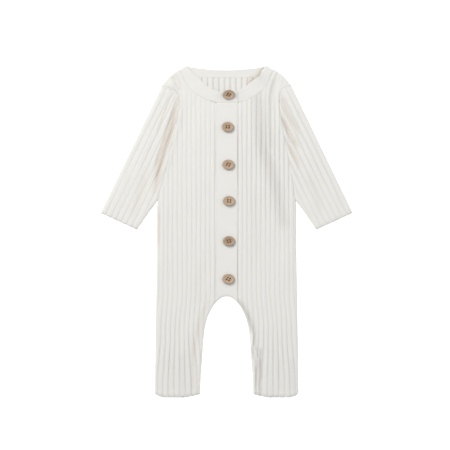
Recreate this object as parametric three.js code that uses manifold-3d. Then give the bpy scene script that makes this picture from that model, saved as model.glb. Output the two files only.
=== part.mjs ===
// A ribbed baby romper laid flat, face up, with its front on its back.
//
// Millimetres, +Z up. X runs across the garment, with the wearer's left at +X, and Y runs from the
// hems to the neck. The surface that it lies on is z = 0 and the middle of the garment is over the
// origin. Left and right in the names are the wearer's.
//
// Every piece of cloth is a closed wall. The front and the sleeve tops share one upper surface and
// the back and the sleeve undersides share one lower surface, and both round over to the side seams.
// The pieces stop half a gap short of each seam, so that they never touch.
import * as THREE from 'three';
import { mergeVertices } from 'three/addons/utils/BufferGeometryUtils.js';
import Module from 'manifold-3d';

// Cloth
const WALL = 1.6;
const SEAM_GAP = 0.3;
const FOLD_RADIUS = 3.6;
const SEAM_LEVEL = 2.3;
const TOP_LEVEL = 4.55;
const RIB_HEIGHT = 0.8;
const RIB_PITCH = 7.0;
const SLEEVE_RIB_PITCH = 8.7;
const NECK_RIB_PITCH = 8.55;
const SEAM_DIP = 0.45;
const SEAM_DIP_WIDTH = 2.4;

// Button band and neckband
const BAND_HALF_WIDTH = 17;
const BAND_TOP = 5.15;
const BAND_WALL = 1.5;
const UNDER_BAND_WALL = 1.35;
const NECKBAND_WALL = 1.7;

// Buttons
const BUTTON_RADIUS = 9;
const BUTTON_OVAL = 0.84;
const BUTTON_SIDES = 20;
const HOLE_RADIUS = 0.85;
const HOLE_OFFSET = 1.8;
const HOLE_SIDES = 6;

// Half outline of the shoulder and the side of the body: distance from the centre line at a height.
const SHOULDER = [
  { y: 243.0, out: 71.1 },
  { y: 237.5, out: 79.6 },
  { y: 230.5, out: 87.3 },
  { y: 224.5, out: 92.7 },
  { y: 218.0, out: 97.3 },
];
const SIDE = [
  { y: 45.8, out: 103.4 },
  { y: 36.0, out: 104.4 },
  { y: -13.0, out: 104.6 },
  { y: -97.0, out: 105.8 },
  { y: -168.0, out: 107.0 },
  { y: -242.4, out: 108.0 },
];
const INSEAM = [
  { y: -97.6, out: 0.0 },
  { y: -99.0, out: 6.4 },
  { y: -103.0, out: 12.2 },
  { y: -112.0, out: 19.9 },
  { y: -121.0, out: 25.0 },
  { y: -134.0, out: 30.0 },
  { y: -150.0, out: 33.2 },
  { y: -168.0, out: 35.0 },
  { y: -190.0, out: 36.4 },
  { y: -212.0, out: 38.2 },
  { y: -244.0, out: 39.8 },
];
const HEM = [
  { out: 39.8, y: -244.0 },
  { out: 52.0, y: -246.8 },
  { out: 66.0, y: -248.9 },
  { out: 91.0, y: -248.9 },
  { out: 102.8, y: -246.4 },
  { out: 108.0, y: -242.4 },
];

// Armhole seams, which differ at the sleeve heads as the garment lies.
const ARMHOLE = [
  { y: 218.0, right: 97.3, left: 97.3 },
  { y: 214.5, right: 85.4, left: 84.2 },
  { y: 209.5, right: 76.0, left: 81.0 },
  { y: 202.0, right: 71.0, left: 79.7 },
  { y: 190.0, right: 69.9, left: 79.4 },
  { y: 171.0, right: 73.0, left: 81.8 },
  { y: 150.0, right: 77.5, left: 85.2 },
  { y: 125.0, right: 83.0, left: 89.9 },
  { y: 87.0, right: 91.8, left: 96.9 },
  { y: 45.8, right: 103.4, left: 103.4 },
];

// Front neck: the seam edge of the neckband, and the free edge that lies across from it.
const NECK = [
  { y: 240.8, out: 68.6, freeOut: 57.5, freeY: 246.8 },
  { y: 237.5, out: 67.4, freeOut: 54.2, freeY: 242.4 },
  { y: 230.5, out: 65.0, freeOut: 50.0, freeY: 238.0 },
  { y: 224.5, out: 62.3, freeOut: 46.5, freeY: 234.3 },
  { y: 218.0, out: 58.6, freeOut: 42.4, freeY: 230.0 },
  { y: 214.5, out: 56.0, freeOut: 39.5, freeY: 226.9 },
  { y: 209.5, out: 51.3, freeOut: 35.0, freeY: 222.6 },
  { y: 202.0, out: 40.5, freeOut: 27.5, freeY: 216.3 },
  { y: 196.5, out: 28.2, freeOut: 19.5, freeY: 211.8 },
  { y: 193.0, out: 17.0, freeOut: 12.0, freeY: 209.6 },
];
const NECK_CENTRE = { seamY: 192.8, freeY: 208.8 };
const BACK_NECK = { out: 68.6, centreY: 230.3, rise: 10.4, freeCentreY: 241.9, freeRise: 5.15 };

// Sleeve: its outer fold runs straight from the shoulder tip to the cuff.
const SLEEVE = { tipOut: 97.3, tipY: 218.0, cuffOut: 189.2, cuffY: 27.7 };
const CUFF = { underarmOut: 134.2, underarmY: 2.3 };
const UNDERARM = { out: 113.3, y: 32.6 };

// Heights at which the front is sectioned below the armhole, above the hem.
const FRONT_LEVELS = [36, -13, -60, -97, -105.5, -108.8, -121, -134, -150, -168, -190, -212, -232];

// Sections of the back. A row starts at this height at its ends and sags by bow at the middle.
const BACK_ROWS = [
  { y: 240.65, bow: 10.4, ribs: 0.7 },
  { y: 237.5, bow: 10.6, ribs: 0.7 },
  { y: 230.5, bow: 8.5, ribs: 0.7 },
  { y: 224.5, bow: 7.0, ribs: 0.7 },
  { y: 218.0, bow: 5.5, ribs: 0.6 },
  { y: 214.5, bow: 4.5, ribs: 0.5 },
  { y: 209.5, bow: 3.0, ribs: 0.3 },
  { y: 202.0, bow: 0, ribs: 0 },
  { y: 190.0, bow: 0, ribs: 0 },
  { y: 171.0, bow: 0, ribs: 0 },
  { y: 150.0, bow: 0, ribs: 0 },
  { y: 125.0, bow: 0, ribs: 0 },
  { y: 87.0, bow: 0, ribs: 0 },
  { y: 45.8, bow: 0, ribs: 0 },
  { y: 36.0, bow: 0, ribs: 0 },
  { y: -25.0, bow: 0, ribs: 0 },
];
// Sections that close in on the crotch. The lining keeps clear of the folded edge by lift.
const CROTCH_ROWS = [
  { y: -87.2, lift: 0 },
  { y: -93.8, lift: 1.1 },
  { y: -96.1, lift: 1.7 },
  { y: -97.6, lift: 1.6 },
];
const LEG_LEVELS = [-99, -103, -112, -121, -134, -150, -168, -190, -212, -232];
const BACK_COLUMN = 17.1;
const HALF_COLUMNS = 6;
const NECK_RIB_START = -2.9;
const NECK_RIB_REACH = 50;

// Soft creases, each a straight stretch: where it runs, its half width and its height.
const CREASES = [
  { x1: -71, y1: 188, x2: -84, y2: 122, width: 8, height: -0.9 },
  { x1: -84, y1: 122, x2: -99, y2: 58, width: 7, height: -0.8 },
  { x1: 66, y1: 200, x2: 84, y2: 72, width: 9, height: -0.9 },
  { x1: 48, y1: 186, x2: 62, y2: 80, width: 10, height: 0.7 },
  { x1: 36, y1: -132, x2: 50, y2: -182, width: 6, height: 1.6 },
  { x1: 50, y1: -190, x2: 50, y2: -248, width: 5, height: -0.9 },
  { x1: 60, y1: -196, x2: 60, y2: -246, width: 5, height: 0.8 },
  { x1: -47, y1: -140, x2: -49, y2: -244, width: 5, height: -0.8 },
  { x1: -59, y1: -150, x2: -61, y2: -240, width: 6, height: 0.8 },
  { x1: -80, y1: 232, x2: -67, y2: 212, width: 4, height: -0.8 },
  { x1: -86, y1: 221, x2: -80, y2: 216, width: 6, height: 0.7 },
  { x1: -84, y1: 176, x2: -106, y2: 92, width: 6, height: -0.8 },
  { x1: 92, y1: 178, x2: 112, y2: 96, width: 6, height: -0.7 },
  { x1: -128, y1: 100, x2: -140, y2: 50, width: 8, height: 0.7 },
  { x1: 130, y1: 104, x2: 144, y2: 52, width: 8, height: 0.7 },
];

const LOWEST_CREASE = -0.95;
const HIGHEST_CREASE = 2;

// Buttons: centre, turn of their holes and tilt about X, in degrees.
const BUTTONS = [
  { x: 2.9, y: 205.0, turn: -38, tilt: 30 },
  { x: 1.8, y: 155.9, turn: -4, tilt: -9 },
  { x: 2.7, y: 99.5, turn: -22, tilt: -9 },
  { x: 3.6, y: 45.1, turn: -4, tilt: -8 },
  { x: 3.5, y: -14.9, turn: 14, tilt: -9 },
  { x: 2.7, y: -71.6, turn: -28, tilt: -8 },
];

const CLOTH = { color: 0xe9e8e2, roughness: 0.92, metalness: 0 };
const BAND_CLOTH = { color: 0xebeae5, roughness: 0.9, metalness: 0 };
const WOOD = { color: 0xb09a84, roughness: 0.6, metalness: 0 };

const clamp = (value, low, high) => Math.min(high, Math.max(low, value));

function smooth(value, start, end) {
  const t = clamp((value - start) / (end - start), 0, 1);
  return t * t * (3 - 2 * t);
}

// Straight-line lookup in a table whose key column falls or rises steadily.
function lookUp(table, key, column, value) {
  for (let i = 0; i + 1 < table.length; i += 1) {
    const a = table[i];
    const b = table[i + 1];
    const t = (value - a[key]) / (b[key] - a[key]);
    if (t <= 1 || i + 2 === table.length) {
      return a[column] + (b[column] - a[column]) * Math.max(0, t);
    }
  }
  return table[0][column];
}

// Distance from a point to a stretch between two points of the plane.
function distanceToStretch(x, y, x1, y1, x2, y2) {
  const dx = x2 - x1;
  const dy = y2 - y1;
  const t = clamp(((x - x1) * dx + (y - y1) * dy) / (dx * dx + dy * dy), 0, 1);
  return Math.hypot(x - x1 - t * dx, y - y1 - t * dy);
}

// The lines along which the laid garment folds or is sewn front to back.
const halfFolds = [
  [...SHOULDER.map((row) => [row.out, row.y]), [SLEEVE.cuffOut, SLEEVE.cuffY]],
  [[SIDE[0].out, SIDE[0].y], [UNDERARM.out, UNDERARM.y], [CUFF.underarmOut, CUFF.underarmY]],
  SIDE.map((row) => [row.out, row.y]),
  INSEAM.map((row) => [row.out, row.y]),
];

function foldDistance(x, y) {
  const out = Math.abs(x);
  let nearest = Infinity;
  for (const line of halfFolds) {
    for (let i = 0; i + 1 < line.length; i += 1) {
      nearest = Math.min(nearest, distanceToStretch(out, y, ...line[i], ...line[i + 1]));
    }
  }
  return nearest;
}

function rounding(distance, radius) {
  const t = clamp(1 - distance / radius, 0, 1);
  return Math.sqrt(1 - t * t);
}

function creaseHeight(x, y) {
  let height = 0;
  for (const crease of CREASES) {
    const d = distanceToStretch(x, y, crease.x1, crease.y1, crease.x2, crease.y2);
    height += crease.height * Math.exp(-((d / crease.width) ** 2));
  }
  return clamp(height, LOWEST_CREASE, HIGHEST_CREASE);
}

// The four surfaces of the laid cloth. Skins are outside, linings face the hollow.
function topSkin(x, y, relief = 0) {
  const edge = SEAM_LEVEL + SEAM_GAP / 2;
  const height = TOP_LEVEL + creaseHeight(x, y) + relief - edge;
  return edge + height * rounding(foldDistance(x, y), FOLD_RADIUS);
}

function topLining(x, y) {
  const edge = SEAM_LEVEL + SEAM_GAP / 2;
  const height = Math.max(0, TOP_LEVEL - WALL + creaseHeight(x, y) - edge);
  return edge + height * rounding(Math.max(0, foldDistance(x, y) - WALL), FOLD_RADIUS - WALL);
}

function bottomSkin(x, y) {
  const edge = SEAM_LEVEL - SEAM_GAP / 2;
  return edge - edge * rounding(foldDistance(x, y), FOLD_RADIUS);
}

function bottomLining(x, y) {
  const edge = SEAM_LEVEL - SEAM_GAP / 2;
  const distance = Math.max(0, foldDistance(x, y) - WALL);
  return edge - (edge - WALL) * rounding(distance, FOLD_RADIUS - WALL);
}

// A rib is a flat-topped ridge between two narrow valleys, which lie at whole numbers.
const RIB_STEPS = [0, 0.28, 0.72];
const ribRelief = (step) => (step === 0 ? 0 : RIB_HEIGHT);

// Body ribs are counted outward from the button band. They fan out over the shoulder, drift
// outward down the leg and spread at the hem.
const FAN = { shift: 12, from: 198, to: 240 };
const DRIFT = { shift: 3.9, from: -88, to: -148 };
const SPREAD = { shift: 1.5, about: 7, from: -150, to: -232 };
const FIRST_RIB = -2;
const LAST_RIB = 15;
const SLEEVE_RIBS = 9;

function ribOut(count, y) {
  const fan = clamp((y - FAN.from) / (FAN.to - FAN.from), 0, 1) ** 2;
  const drift = DRIFT.shift * smooth(-y, -DRIFT.from, -DRIFT.to);
  const spread = SPREAD.shift * (count - SPREAD.about) * smooth(-y, -SPREAD.from, -SPREAD.to);
  return BAND_HALF_WIDTH + RIB_PITCH * count + FAN.shift * fan + drift + spread;
}

// A wall of cloth, built from matched rows of skin and lining. Each row is a list of points with
// a place number, and neighbouring rows are joined in the order of those numbers.
class Wall {
  constructor() {
    this.positions = [];
    this.faces = [];
  }

  add(row) {
    return row.map(({ place, x, y, z }) => {
      this.positions.push(x, y, z);
      return { place, index: this.positions.length / 3 - 1 };
    });
  }

  zip(above, below, flip) {
    let i = 0;
    let j = 0;
    while (i + 1 < above.length || j + 1 < below.length) {
      const nextAbove = i + 1 < above.length ? above[i + 1].place : Infinity;
      const nextBelow = j + 1 < below.length ? below[j + 1].place : Infinity;
      const corner = nextAbove <= nextBelow ? above[i + 1] : below[j + 1];
      const face = [above[i].index, below[j].index, corner.index];
      this.faces.push(flip ? face.reverse() : face);
      if (nextAbove <= nextBelow) {
        i += 1;
      } else {
        j += 1;
      }
    }
  }

  quad(a, b, c, d) {
    this.faces.push([a.index, b.index, c.index], [a.index, c.index, d.index]);
  }

  // Joins a run of rows, and closes the sides that are named.
  join(rows, { start = true, finish = true } = {}) {
    for (let k = 0; k + 1 < rows.length; k += 1) {
      const { skin, lining } = rows[k];
      const next = rows[k + 1];
      this.zip(skin, next.skin, false);
      this.zip(lining, next.lining, true);
      if (start) {
        this.quad(skin[0], lining[0], next.lining[0], next.skin[0]);
      }
      if (finish) {
        this.quad(skin.at(-1), next.skin.at(-1), next.lining.at(-1), lining.at(-1));
      }
    }
  }

  // Closes the wall along a first or last row.
  close(row, last) {
    this.zip(row.skin, row.lining, !last);
  }

  mesh(name, look) {
    return solid(name, this.positions, this.faces.flat(), look);
  }
}

// Turns points and triangles into a named mesh whose faces point out.
function solid(name, positions, indices, look) {
  let geometry = new THREE.BufferGeometry();
  geometry.setAttribute('position', new THREE.Float32BufferAttribute(positions, 3));
  geometry.setIndex(indices);
  geometry = mergeVertices(geometry, 1e-3);
  const index = Array.from(geometry.getIndex().array);
  const kept = [];
  for (let i = 0; i < index.length; i += 3) {
    const [a, b, c] = index.slice(i, i + 3);
    if (a !== b && b !== c && c !== a) {
      kept.push(a, b, c);
    }
  }
  if (signedVolume(geometry.getAttribute('position'), kept) < 0) {
    kept.reverse();
  }
  geometry.setIndex(kept);
  geometry.computeVertexNormals();
  const mesh = new THREE.Mesh(geometry, new THREE.MeshStandardMaterial(look));
  mesh.name = name;
  return mesh;
}

function signedVolume(position, indices) {
  const [a, b, c] = [new THREE.Vector3(), new THREE.Vector3(), new THREE.Vector3()];
  let volume = 0;
  for (let i = 0; i < indices.length; i += 3) {
    a.fromBufferAttribute(position, indices[i]);
    b.fromBufferAttribute(position, indices[i + 1]);
    c.fromBufferAttribute(position, indices[i + 2]);
    volume += a.dot(b.cross(c)) / 6;
  }
  return volume;
}

// Place numbers for the rings of points along an edge, which match from row to row, the share of a
// row that a ring may take, and the least distance from a ring to the next column.
const START_PLACE = -1000;
const FINISH_PLACE = 1000;
const SKIN_RING = [0, 0.14, 0.5, 1];
const LINING_RING = [0, 0.5, 1];
const FOLD_PLACE = 0.001;
const RING_SHARE = 0.45;
const COLUMN_MARGIN = 0.9;
const STEEPEST_LEAN = 2.2;

// How far a row runs sideways to move one unit away from an edge that leans.
function lean(table, y, column = 'out') {
  const slope = (lookUp(table, 'y', column, y - 1) - lookUp(table, 'y', column, y + 1)) / 2;
  return Math.min(STEEPEST_LEAN, Math.hypot(1, slope));
}

function seamDip(distance) {
  return SEAM_DIP * (1 - smooth(distance, 0, SEAM_DIP_WIDTH));
}

// Front of one side with its leg.
function frontSection(y, side) {
  const armhole = side < 0 ? 'right' : 'left';
  const halfGap = SEAM_GAP / 2;
  const ends = {};
  if (y > SHOULDER.at(-1).y) {
    ends.outer = { out: lookUp(SHOULDER, 'y', 'out', y), lean: lean(SHOULDER, y), fold: true };
  } else if (y > SIDE[0].y) {
    const tilt = lean(ARMHOLE, y, armhole);
    const out = lookUp(ARMHOLE, 'y', armhole, y) - halfGap * tilt;
    ends.outer = { out, lean: 1, fold: false };
  } else {
    ends.outer = { out: lookUp(SIDE, 'y', 'out', y), lean: 1, fold: true };
  }
  if (y > NECK.at(-1).y) {
    const tilt = lean(NECK, y);
    ends.inner = { out: lookUp(NECK, 'y', 'out', y) + halfGap * tilt, lean: 1, fold: false };
  } else if (lookUp(INSEAM, 'y', 'out', y) < BAND_HALF_WIDTH + halfGap) {
    ends.inner = { out: BAND_HALF_WIDTH + halfGap, lean: 1, fold: false };
  } else {
    ends.inner = { out: lookUp(INSEAM, 'y', 'out', y), lean: lean(INSEAM, y), fold: true };
  }
  return ends;
}

function frontRow(y, side, heightAt = () => y) {
  const { inner, outer } = frontSection(y, side);
  const width = outer.out - inner.out;
  const point = (place, out, height) => {
    const atY = heightAt(out);
    return { place, x: side * out, y: atY, z: height(side * out, atY) };
  };
  const ring = (steps, start, direction, end, first, place, height) =>
    steps.map((step, i) => {
      const reach = Math.min(FOLD_RADIUS * end.lean, width * RING_SHARE);
      const begin = first * (reach / FOLD_RADIUS);
      const offset = begin + (reach - begin) * step;
      const dip = end.fold ? 0 : seamDip(offset);
      return point(place + i, start + direction * offset, (x, at) => height(x, at, -dip));
    });
  const skinStart = ring(SKIN_RING, inner.out, 1, inner, 0, START_PLACE, topSkin);
  const skinFinish = ring(SKIN_RING, outer.out, -1, outer, 0, 0, topSkin).reverse();
  const innerHem = inner.fold ? WALL : 0;
  const outerHem = outer.fold ? WALL : 0;
  const liningStart = ring(LINING_RING, inner.out, 1, inner, innerHem, START_PLACE, topLining);
  const liningFinish = ring(LINING_RING, outer.out, -1, outer, outerHem, 0, topLining).reverse();
  for (const [finish, last] of [[skinFinish, 3], [liningFinish, 2]]) {
    finish.forEach((item, i) => {
      item.place = FINISH_PLACE + i * (3 / last);
    });
  }
  const from = Math.abs(skinStart.at(-1).x) + COLUMN_MARGIN;
  const to = Math.abs(skinFinish[0].x) - COLUMN_MARGIN;
  const columns = (steps, every) => {
    const found = [];
    for (let count = FIRST_RIB; count <= LAST_RIB; count += every) {
      for (const step of steps) {
        let out = ribOut(count + step, y);
        out = ribOut(count + step, heightAt(out));
        if (out > from && out < to) {
          found.push({ count: count + step, out, relief: ribRelief(step) });
        }
      }
    }
    return found;
  };
  const skinMiddle = columns(RIB_STEPS, 1).map(({ count, out, relief }) =>
    point(count, out, (x, at) => topSkin(x, at, relief)));
  const liningMiddle = columns([0], 4).map(({ count, out }) => point(count, out, topLining));
  return {
    skin: [...skinStart, ...skinMiddle, ...skinFinish],
    lining: [...liningStart, ...liningMiddle, ...liningFinish],
  };
}

function front(name, side) {
  const upper = [...NECK.map((row) => row.y), ...ARMHOLE.map((row) => row.y)];
  const levels = [...new Set([...upper, ...FRONT_LEVELS])].sort((a, b) => b - a);
  const rows = levels.map((y) => frontRow(y, side));
  rows.push(frontRow(HEM[0].y, side, (out) => lookUp(HEM, 'out', 'y', out)));
  const wall = new Wall();
  const added = rows.map((row) => ({ skin: wall.add(row.skin), lining: wall.add(row.lining) }));
  wall.join(added);
  wall.close(added[0], false);
  wall.close(added.at(-1), true);
  return wall.mesh(name, CLOTH);
}

// Sleeve of one side. Rows run across it at a distance t down from the shoulder tip, and p is the
// distance in from its outer fold.
const sleeveLength = Math.hypot(SLEEVE.cuffOut - SLEEVE.tipOut, SLEEVE.cuffY - SLEEVE.tipY);
const along = {
  out: (SLEEVE.cuffOut - SLEEVE.tipOut) / sleeveLength,
  y: (SLEEVE.cuffY - SLEEVE.tipY) / sleeveLength,
};

function toSleeve(out, y) {
  const dOut = out - SLEEVE.tipOut;
  const dY = y - SLEEVE.tipY;
  return { t: dOut * along.out + dY * along.y, p: dOut * along.y - dY * along.out };
}

function fromSleeve(t, p) {
  const out = SLEEVE.tipOut + along.out * t + along.y * p;
  return { out, y: SLEEVE.tipY + along.y * t - along.out * p };
}

function sleeveRow(side, { t, p: end, fold, headAt }) {
  const down = headAt ?? (() => t);
  const point = (place, p, height, dip = 0) => {
    const { out, y } = fromSleeve(down(p), p);
    return { place, x: side * out, y, z: height(side * out, y, -dip) };
  };
  const edgeDip = (distance) => {
    if (headAt) {
      return SEAM_DIP;
    }
    return fold ? 0 : seamDip(distance);
  };
  const layer = (ring, height, hem, sign, last, dipped) => {
    const begin = fold ? hem : 0;
    const endRing = ring.map((step, i) => {
      const offset = begin + (FOLD_RADIUS - begin) * step;
      const place = sign * (FINISH_PLACE - (i * 3) / last);
      return point(place, end - offset, height, dipped ? edgeDip(offset) : 0);
    });
    const foldRing = ring.map((step) => {
      const p = hem + (FOLD_RADIUS - hem) * step;
      return point(sign * (FOLD_PLACE + p / SLEEVE_RIB_PITCH), p, height);
    });
    return { endRing, foldRing };
  };
  const columns = (steps, every) => {
    const found = [];
    for (let count = 0; count < SLEEVE_RIBS; count += every) {
      for (const step of steps) {
        const p = (count + step) * SLEEVE_RIB_PITCH;
        if (p > FOLD_RADIUS + COLUMN_MARGIN && p < end - FOLD_RADIUS - COLUMN_MARGIN) {
          found.push({ count: count + step, p, relief: ribRelief(step) });
        }
      }
    }
    return found;
  };
  const headDip = headAt ? SEAM_DIP : 0;
  const face = (ring, hem, last, bottom, top, topSteps, topEvery) => {
    const low = layer(ring, bottom, hem, -1, last, false);
    const high = layer(ring, top, hem, 1, last, true);
    const lowMiddle = columns([0], 2).map(({ count, p }) => point(-count, p, bottom)).reverse();
    const highMiddle = columns(topSteps, topEvery).map(({ count, p, relief }) =>
      point(count, p, (x, y, low) => top(x, y, relief + low), headDip));
    return [
      ...low.endRing, ...lowMiddle, ...low.foldRing.reverse(),
      ...high.foldRing, ...highMiddle, ...high.endRing.reverse(),
    ];
  };
  return {
    skin: face(SKIN_RING, 0, 3, bottomSkin, topSkin, RIB_STEPS, 1),
    lining: face(LINING_RING, WALL, 2, bottomLining, topLining, [0], 2),
  };
}

function sleeve(name, side) {
  const armhole = side < 0 ? 'right' : 'left';
  const seam = ARMHOLE.map((row, i) => {
    const gap = i + 1 === ARMHOLE.length ? SEAM_GAP : (SEAM_GAP / 2) * lean(ARMHOLE, row.y, armhole);
    return { ...toSleeve(row[armhole] + gap, row.y), fold: i + 1 === ARMHOLE.length };
  });
  const headCount = seam.findIndex((row) => row.t > 1);
  const head = seam.slice(0, headCount);
  const headAt = (p) => lookUp(head, 'p', 't', clamp(p, head[0].p, head.at(-1).p));
  const underarm = toSleeve(UNDERARM.out, UNDERARM.y);
  const cuffEnd = toSleeve(CUFF.underarmOut, CUFF.underarmY);
  const cuffAt = (p) => sleeveLength + (cuffEnd.t - sleeveLength) * (p / cuffEnd.p);
  const middle = { t: (underarm.t + cuffEnd.t) / 2, p: (underarm.p + cuffEnd.p) / 2 };
  const sections = [
    { t: 0, p: head.at(-1).p, fold: false, headAt },
    ...seam.slice(headCount),
    { ...underarm, fold: true },
    { ...middle, fold: true },
    { ...cuffEnd, fold: true, headAt: cuffAt },
  ];
  const wall = new Wall();
  const rows = sections.map((section) => sleeveRow(side, section));
  const added = rows.map((row) => ({ skin: wall.add(row.skin), lining: wall.add(row.lining) }));
  wall.join(added);
  wall.close(added[0], false);
  wall.close(added.at(-1), true);
  return wall.mesh(name, CLOTH);
}

// Back with both legs. Its upper rows cross the whole garment and the lower rows each cross a leg.
function backEnd(y, side) {
  const armhole = side < 0 ? 'right' : 'left';
  if (y > SHOULDER.at(-1).y) {
    return { out: lookUp(SHOULDER, 'y', 'out', y), lean: lean(SHOULDER, y), fold: true };
  }
  if (y > SIDE[0].y) {
    const gap = (SEAM_GAP / 2) * lean(ARMHOLE, y, armhole);
    return { out: lookUp(ARMHOLE, 'y', armhole, y) - gap, lean: 1, fold: false };
  }
  return { out: lookUp(SIDE, 'y', 'out', y), lean: 1, fold: true };
}

function edgeRing(steps, hem, end, direction, at, place, height) {
  const begin = end.fold ? hem : 0;
  const ring = steps.map((step, i) => {
    const offset = (begin + (FOLD_RADIUS - begin) * step) * end.lean;
    const x = end.x + direction * offset;
    const count = (i * 3) / (steps.length - 1);
    return { place: place + direction * count, x, y: at(x), z: height(x, at(x)) };
  });
  return direction > 0 ? ring : ring.reverse();
}

function wallRow(start, finish, skinColumns, liningColumns, at, ribs = 0) {
  const face = (steps, hem, height, columns) => {
    const first = edgeRing(steps, hem, start, 1, at, START_PLACE, height);
    const last = edgeRing(steps, hem, finish, -1, at, FINISH_PLACE, height);
    const middle = columns.filter(({ x }) =>
      x > first.at(-1).x + COLUMN_MARGIN && x < last[0].x - COLUMN_MARGIN);
    const points = middle.map(({ x, relief }) => {
      return { place: x, x, y: at(x), z: height(x, at(x)) + ribs * (relief ?? 0) };
    });
    return [...first, ...points, ...last];
  };
  return {
    skin: face(SKIN_RING, 0, bottomSkin, skinColumns),
    lining: face(LINING_RING, WALL, bottomLining, liningColumns),
  };
}

function evenColumns(spacing) {
  const columns = [];
  for (let i = -HALF_COLUMNS; i <= HALF_COLUMNS; i += 1) {
    columns.push({ x: NECK_RIB_START + i * spacing });
  }
  return columns;
}

function neckRibColumns() {
  const columns = evenColumns(BACK_COLUMN).filter(({ x }) => Math.abs(x) > NECK_RIB_REACH);
  for (let count = -HALF_COLUMNS; count <= HALF_COLUMNS; count += 1) {
    for (const step of RIB_STEPS) {
      const x = NECK_RIB_START + (count + step) * NECK_RIB_PITCH;
      if (Math.abs(x) < NECK_RIB_REACH) {
        columns.push({ x, relief: step === 0 ? 0 : 1 });
      }
    }
  }
  return columns.sort((a, b) => a.x - b.x);
}

function backRow({ y, bow, ribs }) {
  const start = backEnd(y, -1);
  const finish = backEnd(y, 1);
  const at = (x) => y - bow * (1 - Math.min(1, Math.abs(x) / BACK_NECK.out) ** 2);
  const spaced = evenColumns(ribs ? NECK_RIB_PITCH : BACK_COLUMN);
  const skin = ribs ? [...evenColumns(BACK_COLUMN), ...spaced] : spaced;
  const skinColumns = skin.sort((a, b) => a.x - b.x).filter(({ x }, i, all) =>
    i === 0 || x - all[i - 1].x > 1);
  return wallRow(
    { ...start, x: -start.out }, { ...finish, x: finish.out },
    skinColumns, ribs ? neckRibColumns() : spaced, at, ribs,
  );
}

const crotchLean = Math.hypot(1, (INSEAM[1].out - INSEAM[0].out) / (INSEAM[0].y - INSEAM[1].y));
const skinReach = SKIN_RING.map((step) => step * FOLD_RADIUS * crotchLean);
const liningReach = LINING_RING.map((step) => (WALL + (FOLD_RADIUS - WALL) * step) * crotchLean);

function crotchRow({ y, lift }) {
  const start = backEnd(y, -1);
  const finish = backEnd(y, 1);
  const far = evenColumns(BACK_COLUMN).filter(({ x }) => Math.abs(x) > BACK_COLUMN / 2);
  const mirrored = (reach) => [...reach.map((x) => -x).reverse(), ...reach].map((x) => ({ x }));
  const byX = (a, b) => a.x - b.x;
  const skinColumns = [...far, ...mirrored(skinReach.slice(1)), { x: 0 }].sort(byX);
  const liningColumns = [...far, ...mirrored(liningReach.slice(1)), { x: 0 }].sort(byX);
  const ends = [{ ...start, x: -start.out }, { ...finish, x: finish.out }];
  const row = wallRow(...ends, skinColumns, liningColumns, () => y);
  const centre = row.lining.find(({ place }) => place === 0);
  centre.y += lift;
  centre.z = bottomLining(0, centre.y);
  return row;
}

function legRow(y, side, at = () => y) {
  const sideEnd = { out: lookUp(SIDE, 'y', 'out', y), lean: 1, fold: true };
  const inseam = { out: lookUp(INSEAM, 'y', 'out', y), lean: lean(INSEAM, y), fold: true };
  const [inner, outer] = [{ ...inseam, x: side * inseam.out }, { ...sideEnd, x: side * sideEnd.out }];
  const columns = evenColumns(BACK_COLUMN);
  return side < 0 ? wallRow(outer, inner, columns, columns, at)
    : wallRow(inner, outer, columns, columns, at);
}

// The half of the crotch row that starts a leg, with its inner points numbered as an edge ring.
function legStart(row, side) {
  const half = (face, ringCount) => {
    const centre = face.findIndex(({ place }) => place === 0);
    const points = side < 0 ? face.slice(0, centre + 1) : face.slice(centre);
    const ring = side < 0 ? points.slice(-ringCount).reverse() : points.slice(0, ringCount);
    const numbered = new Map(ring.map((item, i) => {
      const place = side < 0 ? FINISH_PLACE : START_PLACE;
      return [item, { ...item, place: place + side * ((i * 3) / (ringCount - 1)) }];
    }));
    return points.map((item) => numbered.get(item) ?? item);
  };
  return { skin: half(row.skin, SKIN_RING.length), lining: half(row.lining, LINING_RING.length) };
}

function back(name) {
  const wall = new Wall();
  const add = (row) => ({ skin: wall.add(row.skin), lining: wall.add(row.lining) });
  const body = [...BACK_ROWS.map(backRow), ...CROTCH_ROWS.map(crotchRow)].map(add);
  wall.join(body);
  wall.close(body[0], false);
  for (const side of [-1, 1]) {
    const hem = (x) => lookUp(HEM, 'out', 'y', Math.abs(x));
    const rows = [...LEG_LEVELS.map((y) => legRow(y, side)), legRow(HEM[0].y, side, hem)];
    const leg = [legStart(body.at(-1), side), ...rows.map(add)];
    wall.join(leg);
    wall.close(leg.at(-1), true);
  }
  return wall.mesh(name, CLOTH);
}

// Lofts matched sections into one closed body with flat ends.
function loft(name, sections, look) {
  const count = sections[0].length;
  const positions = sections.flat().flatMap(({ x, y, z }) => [x, y, z]);
  const indices = [];
  for (let k = 0; k + 1 < sections.length; k += 1) {
    for (let i = 0; i < count; i += 1) {
      const a = k * count + i;
      const b = k * count + ((i + 1) % count);
      indices.push(a, b, a + count, b, b + count, a + count);
    }
  }
  const last = (sections.length - 1) * count;
  for (let i = 1; i + 1 < count; i += 1) {
    indices.push(0, i + 1, i, last, last + i, last + i + 1);
  }
  return solid(name, positions, indices, look);
}

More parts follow.
